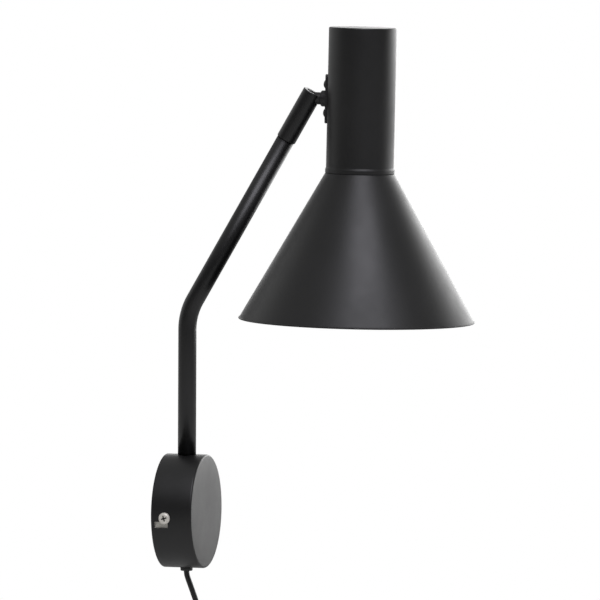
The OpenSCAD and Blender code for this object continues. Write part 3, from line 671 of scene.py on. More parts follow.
def grain_group() -> bpy.types.NodeTree:
    """Fine surface grain: soft orange peel with smaller beads on it.

    Returns:
        The group.
    """
    make = GroupMaker("surface_grain")
    scale = make.value("Scale", default=900.0)
    beads = make.value("Beads", default=0.4)
    peel = make.noise(scale, 2.0, Roughness=0.45)
    bead = make.node("ShaderNodeTexVoronoi", {
        "Vector": make.where, "Scale": make.calc("MULTIPLY", scale, 2.7)}, feature="SMOOTH_F1")
    part = make.calc("MULTIPLY", bead.outputs["Distance"], beads)
    make.output("Height", "Float", make.calc("SUBTRACT", peel, part))
    return make.tree


def mottle_group() -> bpy.types.NodeTree:
    """Slow change over a surface, as handling and an uneven coat leave it.

    Returns:
        The group.
    """
    make = GroupMaker("surface_mottle")
    scale = make.value("Scale", default=20.0)
    cloud = make.noise(scale, 4.0, Roughness=0.55)
    spots = make.noise(make.calc("MULTIPLY", scale, 7.0), 3.0)
    mixed = make.calc("MULTIPLY_ADD", spots, 0.35, cloud)
    make.output("Level", "Float", make.between(mixed, 0.48, 0.87))
    return make.tree


def wear_group() -> bpy.types.NodeTree:
    """Mask of edges that handling and fitting have rubbed, and the mask of recesses that are darkened as
    painted shade.

    Returns:
        The group.
    """
    make = GroupMaker("edge_wear")
    amount = make.value("Amount", default=0.5)
    shape = make.node("ShaderNodeNewGeometry")
    edge = make.between(shape.outputs["Pointiness"], 0.52, 0.60)
    broken = make.between(make.noise(420.0, 5.0), 0.42, 0.62)
    mask = make.calc("MULTIPLY", edge, broken)
    make.output("Mask", "Float", make.calc("MULTIPLY", mask, amount))
    # Painted shade: the recess faces that the screws mark are darkened by this mask
    marked = make.node("ShaderNodeAttribute", attribute_name="grime")
    make.output("Grime", "Float", marked.outputs["Fac"])
    return make.tree


def weave_group() -> bpy.types.NodeTree:
    """Plain weave of a narrow band: warp and weft that pass over each other.

    Returns:
        The group.
    """
    make = GroupMaker("band_weave")
    scale = make.value("Scale", default=1000.0)
    threads = [make.node("ShaderNodeTexWave", {"Vector": make.where, "Scale": scale, "Distortion": 0.4},
                         bands_direction=way).outputs["Fac"] for way in ("Z", "DIAGONAL")]
    make.output("Height", "Float", make.calc("MAXIMUM", *threads))
    return make.tree


def blend(tree: bpy.types.NodeTree, share: bpy.types.NodeSocket, first: object,
          second: object) -> bpy.types.NodeSocket:
    """Adds a mix of two colours and returns its result; 6, 7 and 2 are the node's colour sockets."""
    return add_node(tree, "ShaderNodeMix", {"0": share, "6": first, "7": second}, data_type="RGBA").outputs[2]


@dataclass(frozen=True)
class Finish:
    """A surface finish: two tones, a range of roughness and a grain.

    Grain and mottle are in repeats per metre, and the grain's height is in millimetres.
    """

    name: str
    dark: Colour
    light: Colour
    rough: Flat
    metal: float = 0.0
    grain: float = 900.0
    beads: float = 0.4
    height: float = 0.02
    mottle: float = 20.0
    stretch: Point = (1.0, 1.0, 1.0)
    specular: float = 0.5
    wear: float = 0.0
    worn: Colour = (0.3, 0.3, 0.3)
    polish: float = 0.15
    # share of the dark tone that marked recesses are painted to, as painted shade
    grime: float = 0.12
    woven: bool = False

    def build(self, groups: dict[str, bpy.types.NodeTree]) -> bpy.types.Material:
        """Makes the material.

        Args:
            groups: the shared shader groups by name.

        Returns:
            The material.
        """
        material = bpy.data.materials.new(self.name)
        material.use_nodes = True
        tree = material.node_tree
        tree.nodes.clear()
        where = add_node(tree, "ShaderNodeTexCoord").outputs["Object"]
        mottle = self.use(tree, groups["mottle"], {"Vector": where, "Scale": self.mottle}).outputs[0]
        colour = blend(tree, mottle, (*self.dark, 1), (*self.light, 1))
        rough = add_node(tree, "ShaderNodeMapRange", {
            "Value": mottle, "To Min": self.rough[0], "To Max": self.rough[1]}).outputs[0]
        if self.wear:
            rubbing = self.use(tree, groups["wear"], {"Vector": where, "Amount": self.wear})
            mask = rubbing.outputs["Mask"]
            # Painted shade: marked recess faces are darkened towards a share of the dark tone, standing in
            # for the shade that falls in them
            recess_shade_tone = tuple(self.grime * c for c in self.dark)
            colour = blend(tree, mask, colour, (*self.worn, 1))
            colour = blend(tree, rubbing.outputs["Grime"], colour, (*recess_shade_tone, 1))
            rough = calc(tree, "MULTIPLY_ADD", mask, -self.polish, rough)
        if self.woven:
            relief = self.use(tree, groups["weave"], {"Vector": where, "Scale": self.grain})
        else:
            drawn = add_node(tree, "ShaderNodeMapping", {"Vector": where, "Scale": self.stretch}).outputs[0]
            relief = self.use(tree, groups["grain"], {
                "Vector": drawn, "Scale": self.grain, "Beads": self.beads})
        bump = add_node(tree, "ShaderNodeBump", {
            "Height": relief.outputs[0], "Strength": 1.0, "Distance": self.height * MM})
        surface = add_node(tree, "ShaderNodeBsdfPrincipled", {
            "Base Color": colour, "Metallic": self.metal, "Roughness": rough, "Normal": bump.outputs[0],
            "Specular IOR Level": self.specular})
        add_node(tree, "ShaderNodeOutputMaterial", {"Surface": surface.outputs[0]})
        return material

    @staticmethod
    def use(tree: bpy.types.NodeTree, group: bpy.types.NodeTree, values: dict[str, object]) -> bpy.types.Node:
        """Places a shared group in a material with its own values."""
        return add_node(tree, "ShaderNodeGroup", values, node_tree=group)


FINISHES: dict[Slot, Finish] = {
    Slot.PAINT: Finish("satin_powder_coat", (0.0035, 0.0035, 0.0037), (0.0055, 0.0054, 0.0056), (0.40, 0.49),
                       grain=1100, beads=0.5, height=0.010, mottle=14),
    Slot.BLACK_SCREW: Finish("blackened_steel", (0.012, 0.012, 0.012), (0.028, 0.027, 0.026), (0.30, 0.48),
                             metal=0.35, grain=1600, height=0.010, mottle=160, wear=0.5,
                             worn=(0.16, 0.15, 0.14)),
    Slot.ZINC: Finish("zinc_plating", (0.66, 0.63, 0.57), (0.88, 0.85, 0.78), (0.28, 0.46), metal=0.3,
                      grain=1400, height=0.012, mottle=120, wear=0.4, worn=(0.85, 0.84, 0.80)),
    Slot.STEEL: Finish("turned_steel", (0.30, 0.29, 0.27), (0.46, 0.44, 0.41), (0.20, 0.36), metal=1.0,
                       grain=260, beads=0.0, height=0.006, mottle=90, stretch=(1.0, 9.0, 1.0)),
    Slot.BRASS: Finish("satin_brass", (0.60, 0.42, 0.17), (0.78, 0.58, 0.27), (0.18, 0.34), metal=1.0,
                       grain=300, beads=0.0, height=0.006, mottle=110, stretch=(1.0, 1.0, 9.0)),
    Slot.COPPER: Finish("satin_copper", (0.55, 0.25, 0.13), (0.78, 0.41, 0.25), (0.2, 0.4), metal=1.0,
                        grain=700),
    Slot.PLASTIC: Finish("moulded_black", (0.0125, 0.0125, 0.0130), (0.0175, 0.0173, 0.0175), (0.38, 0.52),
                         grain=2100, beads=0.8, height=0.016, mottle=60),
    Slot.SHEATH: Finish("black_lead_sheath", (0.010, 0.010, 0.0105), (0.016, 0.0155, 0.015), (0.34, 0.46),
                        grain=800, beads=0.2, height=0.014, mottle=45),
    Slot.WIRE: Finish("brown_wire_sheath", (0.11, 0.05, 0.02), (0.19, 0.09, 0.04), (0.3, 0.45)),
    Slot.TIE: Finish("hook_and_loop_band", (0.012, 0.012, 0.013), (0.030, 0.029, 0.030), (0.75, 0.95),
                     grain=900, height=0.12, mottle=300, woven=True, specular=0.3),
    Slot.PALE: Finish("pale_moulding", (0.66, 0.63, 0.56), (0.76, 0.74, 0.67), (0.35, 0.5), height=0.010),
    Slot.PORCELAIN: Finish("steatite", (0.70, 0.67, 0.60), (0.82, 0.79, 0.73), (0.42, 0.62), height=0.03,
                           grain=1500, beads=0.6),
}

ARM_PAINT = replace(FINISHES[Slot.PAINT], name="smooth_powder_coat", rough=(0.32, 0.39), height=0.006)


class Workshop:
    """Keeps the trees and materials, and puts finished pieces on their bodies."""

    def __init__(self) -> None:
        """Builds every shared tree, group and material once."""
        self.row = row_tree()
        self.ring = ring_tree()
        self.thread = thread_tree()
        self.tube = bent_tube_tree()
        groups = {"grain": grain_group(), "mottle": mottle_group(), "wear": wear_group(),
                  "weave": weave_group()}
        self.materials = {slot: finish.build(groups) for slot, finish in FINISHES.items()}
        self.arm_paint = ARM_PAINT.build(groups)
        self.made: list[str] = []

    def hand_over(self, piece: bpy.types.Object, slot: Slot, body: Body, *stands_for: str,
                  look: bpy.types.Material | None = None) -> bpy.types.Object:
        """Dresses a piece, puts it on its body and lets it stand for CAD nodes.

        Args:
            piece: the finished object.
            slot: its finish.
            body: the body that carries it.
            stands_for: CAD nodes that it replaces.
            look: a material of its own, where the finish's usual one doesn't suit.

        Returns:
            The same object.
        """
        piece.data.materials.clear()
        piece.data.materials.append(look or self.materials[slot])
        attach(piece, body.value)
        if stands_for:
            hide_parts(*stands_for)
        self.made.append(piece.name)
        LOG.info("%s: %s on %s", piece.name, slot.value, body.value)
        return piece

    def in_a_row(self, template: bpy.types.Object, name: str, slot: Slot, count: int, first: Sequence[float],
                 step: Sequence[float], place: Matrix, turn: Sequence[float] = (0, 0, 0),
                 shrink: float = 0.0) -> bpy.types.Object:
        """Copies a template along a line with the row tree.

        Args:
            template: the piece to copy, in millimetres about the origin.
            name: name of the result.
            slot: its finish.
            count: number of copies.
            first: place of the first copy.
            step: way from each copy to the next.
            place: placement of the whole row.
            turn: extra turn of each further copy.
            shrink: how much narrower each further copy is.

        Returns:
            One object with every copy.
        """
        values = {"Count": count, "First": tuple(first), "Step": tuple(step), "Turn": tuple(turn),
                  "Shrink": shrink, "Finish": self.materials[slot]}
        return grow(template, name, self.row, values, place)

    def dress_nodes(self) -> None:
        """Gives every CAD node that still shows the material of its slot."""
        for part in frame["record"]["subparts"]:
            node = frame["nodes"][part["node"]]
            if not node.hide_render:
                node.data.materials.clear()
                node.data.materials.append(self.materials[Slot(part["material_slot"])])


# ---- screws ----


class Head(Enum):
    """Shapes of a screw's head."""

    PAN = "pan"
    DOME = "dome"
    FLAT = "flat"


@dataclass(frozen=True)
class CrossScrew:
    """A screw with a cross recess, its head's underside on Z = 0 and its shank below."""

    head_r: float
    head_h: float
    shank_r: float
    shank_len: float
    head: Head = Head.PAN
    recess_out: float = 0.56
    recess_down: float = 0.72
    recess_deg: float = 17.0

    def outline(self) -> list[Flat]:
        """Section from the tip of the shank to the top of the head.

        Returns:
            Its points, starting and ending on the axis.
        """
        shank = [(0.0, -self.shank_len, 0), (self.shank_r * 0.8, -self.shank_len, 0.1),
                 (self.shank_r, -self.shank_len + 0.5, 0.1), (self.shank_r, 0.0, 0.1)]
        r, h = self.head_r, self.head_h
        if self.head is Head.DOME:
            ball = (r * r + h * h) / (2 * h)
            rim = math.degrees(math.asin(r / ball))
            cap = [(max(a, 0.0), b) for a, b in arc((0.0, h - ball), ball, 90 - rim, 90, 12)]
            return rounded([*shank, (r - 0.1, 0, 0)], 3, False) + cap[:-1] + [(0.0, h)]
        if self.head is Head.FLAT:
            top = [(r, 0.0, 0.1), (r, h, 0.25), (0.0, h, 0)]
        else:
            top = [(r, 0.0, 0.25), (r, h * 0.5, 0.7), (r * 0.72, h, 0.9), (0.0, h, 0)]
        return rounded([*shank, *top], 5, False)

    def template(self) -> bpy.types.Object:
        """Makes one screw with its cross recess cut and its recess faces marked for painted shade.

        Returns:
            The screw, in millimetres about the origin.
        """
        body = as_millimetres(lathe("screw", self.outline(), Matrix.Identity(4), 48, False))
        reach, deep = self.head_r * self.recess_out, self.head_h * self.recess_down
        sections = [(round_rect(reach * 0.9, 0.6, 0.2, 3), self.head_h - deep),
                    (round_rect(reach * 2, 1.15, 0.3, 3), self.head_h + 0.3)]
        turns = [Matrix.Rotation(math.radians(turn + self.recess_deg), 4, "Z") for turn in (0, 90)]
        screw = cut(body, [as_millimetres(stack("recess", sections, turn)) for turn in turns])
        # Faces inside the recess are marked for painted shade, which the finish darkens
        grime = screw.data.attributes.new("grime", "FLOAT", "FACE")
        for face in screw.data.polygons:
            x, y, z = face.center
            inside = math.hypot(x, y) < self.head_r * 0.6 and 0 < z < self.head_h * 0.9
            grime.data[face.index].value = 1.0 if inside else 0.0
        return screw


# ---- canopy ----


@dataclass
class Canopy:
    """The round cup on the wall, its two hook screws and the lead's gland."""

    shop: Workshop
    radius: float = LAYOUT.canopy_r
    depth: float = 31.8
    wall: float = 1.0
    edge: float = 1.6
    slot_w: float = 4.8
    hook_out: float = 10.8
    hook_z: float = -2.0
    drop: float = 5.2
    hook_rim: float = 2.4
    arm_hole_r: float = 7.4
    gland_r: float = 4.0
    flange_r: float = 4.8
    flange_h: float = 2.5
    screw: CrossScrew = field(default_factory=lambda: CrossScrew(4.4, 2.4, 2.0, 6.0))

    def hook_cutter(self, side: int) -> bpy.types.Object:
        """Closed solid of one hook slot.

        Args:
            side: 1 or -1, the side of the cup.

        Returns:
            The cutter.
        """
        half, low = self.slot_w / 2, self.hook_z - self.drop
        far = self.hook_out + half
        outline = [(self.hook_rim, low - half), (far, low - half)]
        outline += arc((self.hook_out, self.hook_z), half, 0, 180, 14)
        outline += [(self.hook_out - half, low + half), (self.hook_rim, low + half)]
        bm = bmesh.new()
        inside, outside = self.radius - 12, self.radius + 6
        rings = [[Vector((side * x, -out, z)) for out, z in outline] for x in (inside, outside)]
        loft_rings(bm, rings, False, True)
        return seal(bm, "hook_cutter", Matrix.Identity(4))

    def shell(self) -> bpy.types.Object:
        """The cup with its rounded front edge, slots and holes.

        Returns:
            The cup.
        """
        inner = self.radius - self.wall
        section = rounded([
            (0.0, self.depth, 0), (self.radius * 0.5, self.depth, 0), (self.radius, self.depth, self.edge),
            (self.radius, 20, 0), (self.radius, 10, 0),
            (self.radius, 0.0, 0.25), (inner, 0.0, 0.25), (inner, self.depth - self.wall, 0.6),
            (0.0, self.depth - self.wall, 0)], 8, False)
        cup = lathe("canopy_shell", section, facing_out(), 256, False)
        holes = [self.hook_cutter(1), self.hook_cutter(-1)]
        through = 18
        for radius, z in ((self.arm_hole_r, self.radius - 12), (self.gland_r + CLEAR, -self.radius - 6)):
            outline = [(0, 0), (radius, 0), (radius, through), (0, through)]
            holes.append(lathe("hole", outline, LAYOUT.upright(z), 64, False))
        return cut(cup, holes)

    def hook_screws(self) -> bpy.types.Object:
        """The two screws that the cup hangs on, one on each side.

        Returns:
            One object with both.
        """
        seat = self.radius + CLEAR
        place = Matrix.Translation((0, -self.hook_out, self.hook_z)) @ Matrix.Rotation(math.pi / 2, 4, "Y")
        return self.shop.in_a_row(self.screw.template(), "hook_screw_pair", Slot.ZINC, 2, (0, 0, seat),
                                  (0, 0, -2 * seat), place, (math.pi, 0, 0))

    def gland(self) -> bpy.types.Object:
        """The bush that the lead comes through, with its flange below the cup.

        Returns:
            The bush.
        """
        bore = LAYOUT.lead_r + LEAD_GAP
        top = 8 + self.flange_h
        section = rounded([
            (bore, 0.0, 0.35), (self.flange_r - 0.2, 0.0, 0.5), (self.flange_r, self.flange_h - CLEAR, 0.25),
            (self.gland_r, self.flange_h - CLEAR, 0), (self.gland_r, top, 0.3), (bore, top, 0.2)])
        return lathe("gland_bush", section, LAYOUT.upright(-self.radius - self.flange_h), 64)

    def build(self) -> None:
        """Makes the canopy's pieces and hands them over."""
        self.shop.hand_over(self.shell(), Slot.PAINT, Body.ROOT, "canopy")
        self.shop.hand_over(self.hook_screws(), Slot.ZINC, Body.ROOT, "hook_screws")
        self.shop.hand_over(self.gland(), Slot.PLASTIC, Body.ROOT, "cord_gland")


# ---- arm ----


@dataclass
class Arm:
    """The bent tube and the slotted sleeve of the ball joint at its end."""

    shop: Workshop
    tube_r: float = 7.0
    wall: float = 1.2
    foot_z: float = 10.16
    bend_r: float = 46.0
    sleeve_r: float = 7.6
    bore_r: float = 6.25
    sleeve_below: float = 36.6
    sleeve_above: float = 5.4
    slot_r: float = 4.85
    slot_low_deg: float = 20.0

    def tube(self) -> bpy.types.Object:
        """The tube from its foot in the canopy to the sleeve.

        Returns:
            The tube, with its wall.
        """
        foot = Vector((0, -LAYOUT.arm_out, self.foot_z))
        line = [foot, LAYOUT.on_slope(0), LAYOUT.on_slope(LAYOUT.slope - self.sleeve_below)]
        values = {"Tube Radius": self.tube_r, "Bend Radius": self.bend_r, "Bend Steps": 40, "Sides": 72,
                  "Finish": self.shop.materials[Slot.PAINT]}
        tube = grow(seed_mesh(line), "arm_tube_bent", self.shop.tube, values, Matrix.Identity(4))
        skin = tube.modifiers.new("wall", "SOLIDIFY")
        skin.thickness, skin.offset, skin.use_even_offset = self.wall * MM, -1, True
        settle(tube)
        return tube

    def slot_cutters(self) -> list[bpy.types.Object]:
        """Solids that open the sleeve from its mouth down one side, for the stem to tilt in.

        Returns:
            The slot's slab and its round end.
        """
        place, low, reach = LAYOUT.sloping(), math.radians(self.slot_low_deg), 14.0
        side = self.slot_r - 0.03
        fan = [(0.0, 0.0), (-reach * math.cos(low), reach * math.sin(low)), (-reach, reach), (0.0, reach)]
        bm = bmesh.new()
        loft_rings(bm, [[Vector((x, y, z)) for y, z in fan] for x in (-side, side)], False, True)
        slab = seal(bm, "slab", place)
        lean = place @ Matrix.Rotation(math.pi / 2 - low, 4, "X")
        end = lathe("end", [(0, 0), (self.slot_r, 0), (self.slot_r, reach), (0, reach)], lean, 64, False)
        return [slab, end]

    def sleeve(self) -> bpy.types.Object:
        """The sleeve, with a hollow seat for the ball and an open slot.

        Returns:
            The sleeve.
        """
        top = self.sleeve_above
        lip_z = math.sqrt(self.bore_r ** 2 - self.slot_r ** 2)
        low_deg = math.degrees(math.atan2(lip_z, self.slot_r))
        section = rounded([
            (self.bore_r, -self.sleeve_below, 0.15), (self.sleeve_r, -self.sleeve_below, 0.45),
            (self.sleeve_r, -12, 0), (self.sleeve_r, top, 0.45), (self.slot_r, top, 0.3),
            (self.slot_r, lip_z + 0.1, 0)], 5)
        section += arc((0.0, 0.0), self.bore_r, low_deg, 0, 10)
        return cut(lathe("joint_sleeve_slotted", section, LAYOUT.sloping(), 128), self.slot_cutters())

    def build(self) -> None:
        """Makes the arm's pieces and hands them over."""
        look = self.shop.arm_paint
        self.shop.hand_over(self.tube(), Slot.PAINT, Body.ARM, "arm_tube", look=look)
        self.shop.hand_over(self.sleeve(), Slot.PAINT, Body.ARM, "joint_sleeve", look=look)


@dataclass
class BallStud:
    """The ball with its neck and stem, turned in one piece."""

    shop: Workshop
    ball_r: float = 6.2
    neck_r: float = 4.7
    neck_len: float = 9.4
    stem_r: float = 4.0
    stem_len: float = 25.92

    def build(self) -> None:
        """Makes the stud and hands it over."""
        join_deg = math.degrees(math.asin(self.neck_r / self.ball_r))
        ball = [(max(a, 0.0), b) for a, b in arc((0.0, 0.0), self.ball_r, -90, 90 - join_deg, 30)]
        ball[0] = (0.0, -self.ball_r)
        neck = rounded([(self.neck_r, ball[-1][1] + 0.3, 0), (self.neck_r, self.neck_len, 0.4),
                        (self.stem_r, self.neck_len, 0.2), (self.stem_r, self.stem_len, 0.6),
                        (0.0, self.stem_len, 0)], 4, False)
        stud = lathe("ball_stud_turned", ball + neck, LAYOUT.stem(0), 72, False)
        self.shop.hand_over(stud, Slot.BLACK_SCREW, Body.KNUCKLE, "ball_stud")


# ---- head ----


@dataclass
class Housing:
    """The tall housing with its curved plate, boss and two dome screws."""

    shop: Workshop
    radius: float = LAYOUT.housing_r
    wall: float = 1.0
    top_z: float = 54.9
    top_edge: float = 1.0
    bead_out: float = 0.6
    bead_h: float = 4.6
    plate_t: float = 1.9
    plate_w: float = 14.0
    plate_h: float = 37.4
    plate_corner: float = 2.5
    screw_pitch: float = 21.8
    boss_r: float = 6.15
    boss_from: float = 9.45
    screw: CrossScrew = field(default_factory=lambda: CrossScrew(3.85, 2.1, 2.0, 5.0, Head.DOME))

    def plate_face(self) -> float:
        """Way from the ball's centre to the plate's front face."""
        return LAYOUT.shade_out - self.radius - self.plate_t

    def shell(self) -> bpy.types.Object:
        """The housing's shell, open at its foot, with a bead round the foot.

        Returns:
            The shell.
        """
        r, foot, top = self.radius, LAYOUT.seam_z, self.top_z
        out, inner, under = r + self.bead_out, r - self.wall, top - self.wall
        section = rounded([
            (0.0, top, 0), (r * 0.6, top, 0), (r, top, self.top_edge), (r, 20, 0), (r, -20, 0),
            (r, foot + self.bead_h, 0.8), (out, foot + self.bead_h - 1.6, 0.8), (out, foot + 0.5, 0.3),
            (out - 0.4, foot, 0.2), (inner, foot, 0.15), (inner, under, 0.8), (0.0, under, 0)], 8, False)
        return lathe("housing_shell", section, LAYOUT.shade(), 192, False, 40)

    def plate(self) -> bpy.types.Object:
        """The plate that follows the housing's curve, with soft edges.

        Returns:
            The plate.
        """
        back, front = self.radius + CLEAR, self.radius + self.plate_t
        insets = (2.5, 5.0, self.plate_w / 2 - 0.01)
        sections = [(inset, back) for inset in (*insets[::-1], 0.0)]
        sections += [(inset, back + rise) for inset, rise in soft_edge(self.plate_t - CLEAR, 0.55)]
        sections += [(inset, front) for inset in insets]
        rings = []
        for inset, radius in sections:
            wide, high = self.plate_w - 2 * inset, self.plate_h - 2 * inset
            rings.append([Vector((radius * math.sin(x / front), radius * math.cos(x / front), z))
                          for x, z in round_rect(wide, high, self.plate_corner - inset)])
        bm = bmesh.new()
        loft_rings(bm, rings, False, True)
        return seal(bm, "mounting_plate_curved", LAYOUT.shade(), 50)

    def boss(self) -> bpy.types.Object:
        """The round boss that the stem turns in.

        Returns:
            The boss.
        """
        bore, start, end = BallStud.stem_r + 0.05, self.boss_from, self.plate_face() + 0.8
        section = rounded([
            (bore, start, 0.2), (self.boss_r - 0.6, start, 0.15), (self.boss_r, start + 0.6, 0.15),
            (self.boss_r, end, 0), (bore, end, 0)], 4)
        return lathe("swivel_boss_turned", section, LAYOUT.stem(0), 72)

    def screws(self) -> bpy.types.Object:
        """The two dome screws, above and below the boss.

        Returns:
            One object with both.
        """
        face = LAYOUT.head() @ Matrix.Translation((0, -self.plate_face(), 0))
        place = face @ Matrix.Rotation(-math.pi / 2, 4, "X")
        return self.shop.in_a_row(self.screw.template(), "plate_screw_pair", Slot.BLACK_SCREW, 2,
                                  (0, -self.screw_pitch / 2, 0), (0, self.screw_pitch, 0), place)

    def build(self) -> None:
        """Makes the housing's pieces and hands them over."""
        self.shop.hand_over(self.shell(), Slot.PAINT, Body.HEAD, "housing")
        self.shop.hand_over(self.plate(), Slot.PAINT, Body.HEAD, "mounting_plate")
        self.shop.hand_over(self.boss(), Slot.PAINT, Body.HEAD, "swivel_boss")
        self.shop.hand_over(self.screws(), Slot.BLACK_SCREW, Body.HEAD, "plate_screws")


@dataclass
class Shade:
    """The cone and the knurled ring that clamps it to the lamp holder."""

    shop: Workshop
    rim_r: float = 90.0
    height: float = 112.3
    top_r: float = 26.5
    wall: float = 0.9
    bead_r: float = 0.75
    flange_t: float = 1.0
    hole_r: float = 20.2
    spigot_r: float = 24.65
    spigot_h: float = 6.0
    ring_r: float = 22.9
    ring_h: float = 7.0
    grips: int = 24

    def cone(self) -> bpy.types.Object:
        """The cone with its rolled rim, flange and spigot.

        Returns:
            The cone and the spigot as one object.
        """
        seam = LAYOUT.seam_z
        rim_z = seam - self.height
        slope = math.atan((self.rim_r - self.top_r) / self.height)
        skin = self.wall / math.cos(slope)
        bead = (self.rim_r - self.bead_r, rim_z + self.bead_r)
        top, low = (self.top_r, seam - 0.25), (self.rim_r - 0.75, rim_z + 1.35)
        under = (self.top_r - skin + self.flange_t * math.tan(slope), seam - self.flange_t)
        inside = (self.rim_r - skin - 0.95, rim_z + 1.45)
        section = [(self.hole_r, seam - CLEAR), (self.top_r - 0.3, seam - CLEAR),
                   (self.top_r - 0.05, seam - 0.1), top]
        section += spaced(top, low, 22) + [low]
        section += arc(bead, self.bead_r, 80, -215, 26)
        section += [inside] + spaced(inside, under, 22) + [under, (self.hole_r, seam - self.flange_t)]
        cone = lathe("shade_cone_spun", section, LAYOUT.shade(), 256, True, 46)
        inner, foot, end = self.spigot_r - self.wall, seam - 0.1, seam + self.spigot_h
        outline = [(inner, foot), (self.spigot_r, foot), (self.spigot_r, end), (inner, end)]
        spigot = lathe("spigot", outline, LAYOUT.shade(), 96)
        return join("shade_cone_spun", [cone, spigot])

    def ring(self) -> bpy.types.Object:
        """The clamp ring with its grips.

        Returns:
            The ring and its grips as one object.
        """
        foot = LAYOUT.seam_z - self.flange_t - self.ring_h - CLEAR
        bore = self.hole_r - 0.28
        section = rounded([(bore, 0, 0.3), (self.ring_r, 0, 0.8), (self.ring_r, self.ring_h, 0.4),
                           (bore, self.ring_h, 0.2)])
        place = LAYOUT.shade() @ Matrix.Translation((0, 0, foot))
        body = lathe("ring_body", section, place, 120)
        narrow, full = round_rect(0.8, 0.8, 0.4, 3), round_rect(1.6, 1.6, 0.7, 3)
        levels = [(narrow, 0.5), (full, 1.1), (full, self.ring_h - 1.6), (narrow, self.ring_h - 1.0)]
        rib = as_millimetres(stack("rib", levels, Matrix.Identity(4)))
        values = {"Count": self.grips, "Radius": self.ring_r - 0.1,
                  "Finish": self.shop.materials[Slot.PLASTIC]}
        return join("shade_ring_knurled", [body, grow(rib, "ribs", self.shop.ring, values, place)])

    def build(self) -> None:
        """Makes the shade's pieces and hands them over."""
        self.shop.hand_over(self.cone(), Slot.PAINT, Body.HEAD, "shade_cone")
        self.shop.hand_over(self.ring(), Slot.PLASTIC, Body.HEAD, "shade_ring")


@dataclass
class LampHolder:
    """The threaded barrel and the bulb's thread inside it."""

    shop: Workshop
    barrel_r: float = 19.9
    below: float = 22.0
    above: float = 14.0
    wall: float = 2.2
    mouth_r: float = 15.0
    shell_r: float = 13.4
    shell_deep: float = 18.6
    shell_hole_r: float = 7.0
    shell_t: float = 0.6
    ridge_r: float = 0.62

    def barrel(self) -> bpy.types.Object:
        """The barrel with its shoulder, lip and outside thread.

        Returns:
            The barrel and its thread as one object.
        """
        r, mouth, foot, end = self.barrel_r, self.mouth_r, -self.below, self.above
        root, inner = r - 0.6, r - self.wall
        section = rounded([
            (mouth, foot, 0.5), (root, foot, 0.6), (root, -2.0, 0), (r - 0.1, -1.0, 0), (r - 0.1, 0.0, 0),
            (r + 2, 0.0, 0.3), (r + 2, 3.0, 0.4), (r + 0.6, 3.0, 0), (r + 0.6, end, 0.3), (inner, end, 0.2),
            (inner, foot + 1.5, 0), (mouth, foot + 1.5, 0.2)])
        place = LAYOUT.shade() @ Matrix.Translation((0, 0, LAYOUT.seam_z))
        body = lathe("barrel_body", section, place, 96)
        thread = self.turns("barrel_thread", root, 7, 17.5, Slot.PLASTIC,
                            place @ Matrix.Translation((0, 0, foot + 1.6)))
        return join("holder_barrel_threaded", [body, thread])

    def turns(self, name: str, radius: float, turns: float, rise: float, slot: Slot,
              place: Matrix) -> bpy.types.Object:
        """A thread's ridge, made with the helix tree."""
        values = {"Turns": turns, "Radius": radius, "Rise": rise, "Ridge": self.ridge_r,
                  "Finish": self.shop.materials[slot]}
        return grow(seed_mesh([Vector()]), name, self.shop.thread, values, place)

    def bulb_thread(self) -> bpy.types.Object:
        """The brass shell that the bulb screws into.

        Returns:
            The shell and its thread as one object.
        """
        depth, r, hole, thick = self.shell_deep, self.shell_r, self.shell_hole_r, self.shell_t
        place = LAYOUT.shade() @ Matrix.Translation((0, 0, LAYOUT.seam_z - 2 - depth - CLEAR))
        section = rounded([(r, 0, 0.2), (r + thick, 0, 0.2), (r + thick, depth, 0.4), (hole, depth, 0.1),
                           (hole, depth - thick, 0.1), (r, depth - thick, 0.4)])
        body = lathe("bulb_thread_cup", section, place, 96)
        ridge = self.turns("bulb_thread_turns", r + 0.35, 4.4, 15.8, Slot.BRASS,
                           place @ Matrix.Translation((0, 0, 1.2)))
        return join("bulb_thread_shell", [body, ridge])

    def build(self) -> None:
        """Makes the holder's pieces and hands them over."""
        self.shop.hand_over(self.barrel(), Slot.PLASTIC, Body.HEAD, "holder_body")
        self.shop.hand_over(self.bulb_thread(), Slot.BRASS, Body.HEAD, "thread_shell")


# ---- lead, switch and plug ----


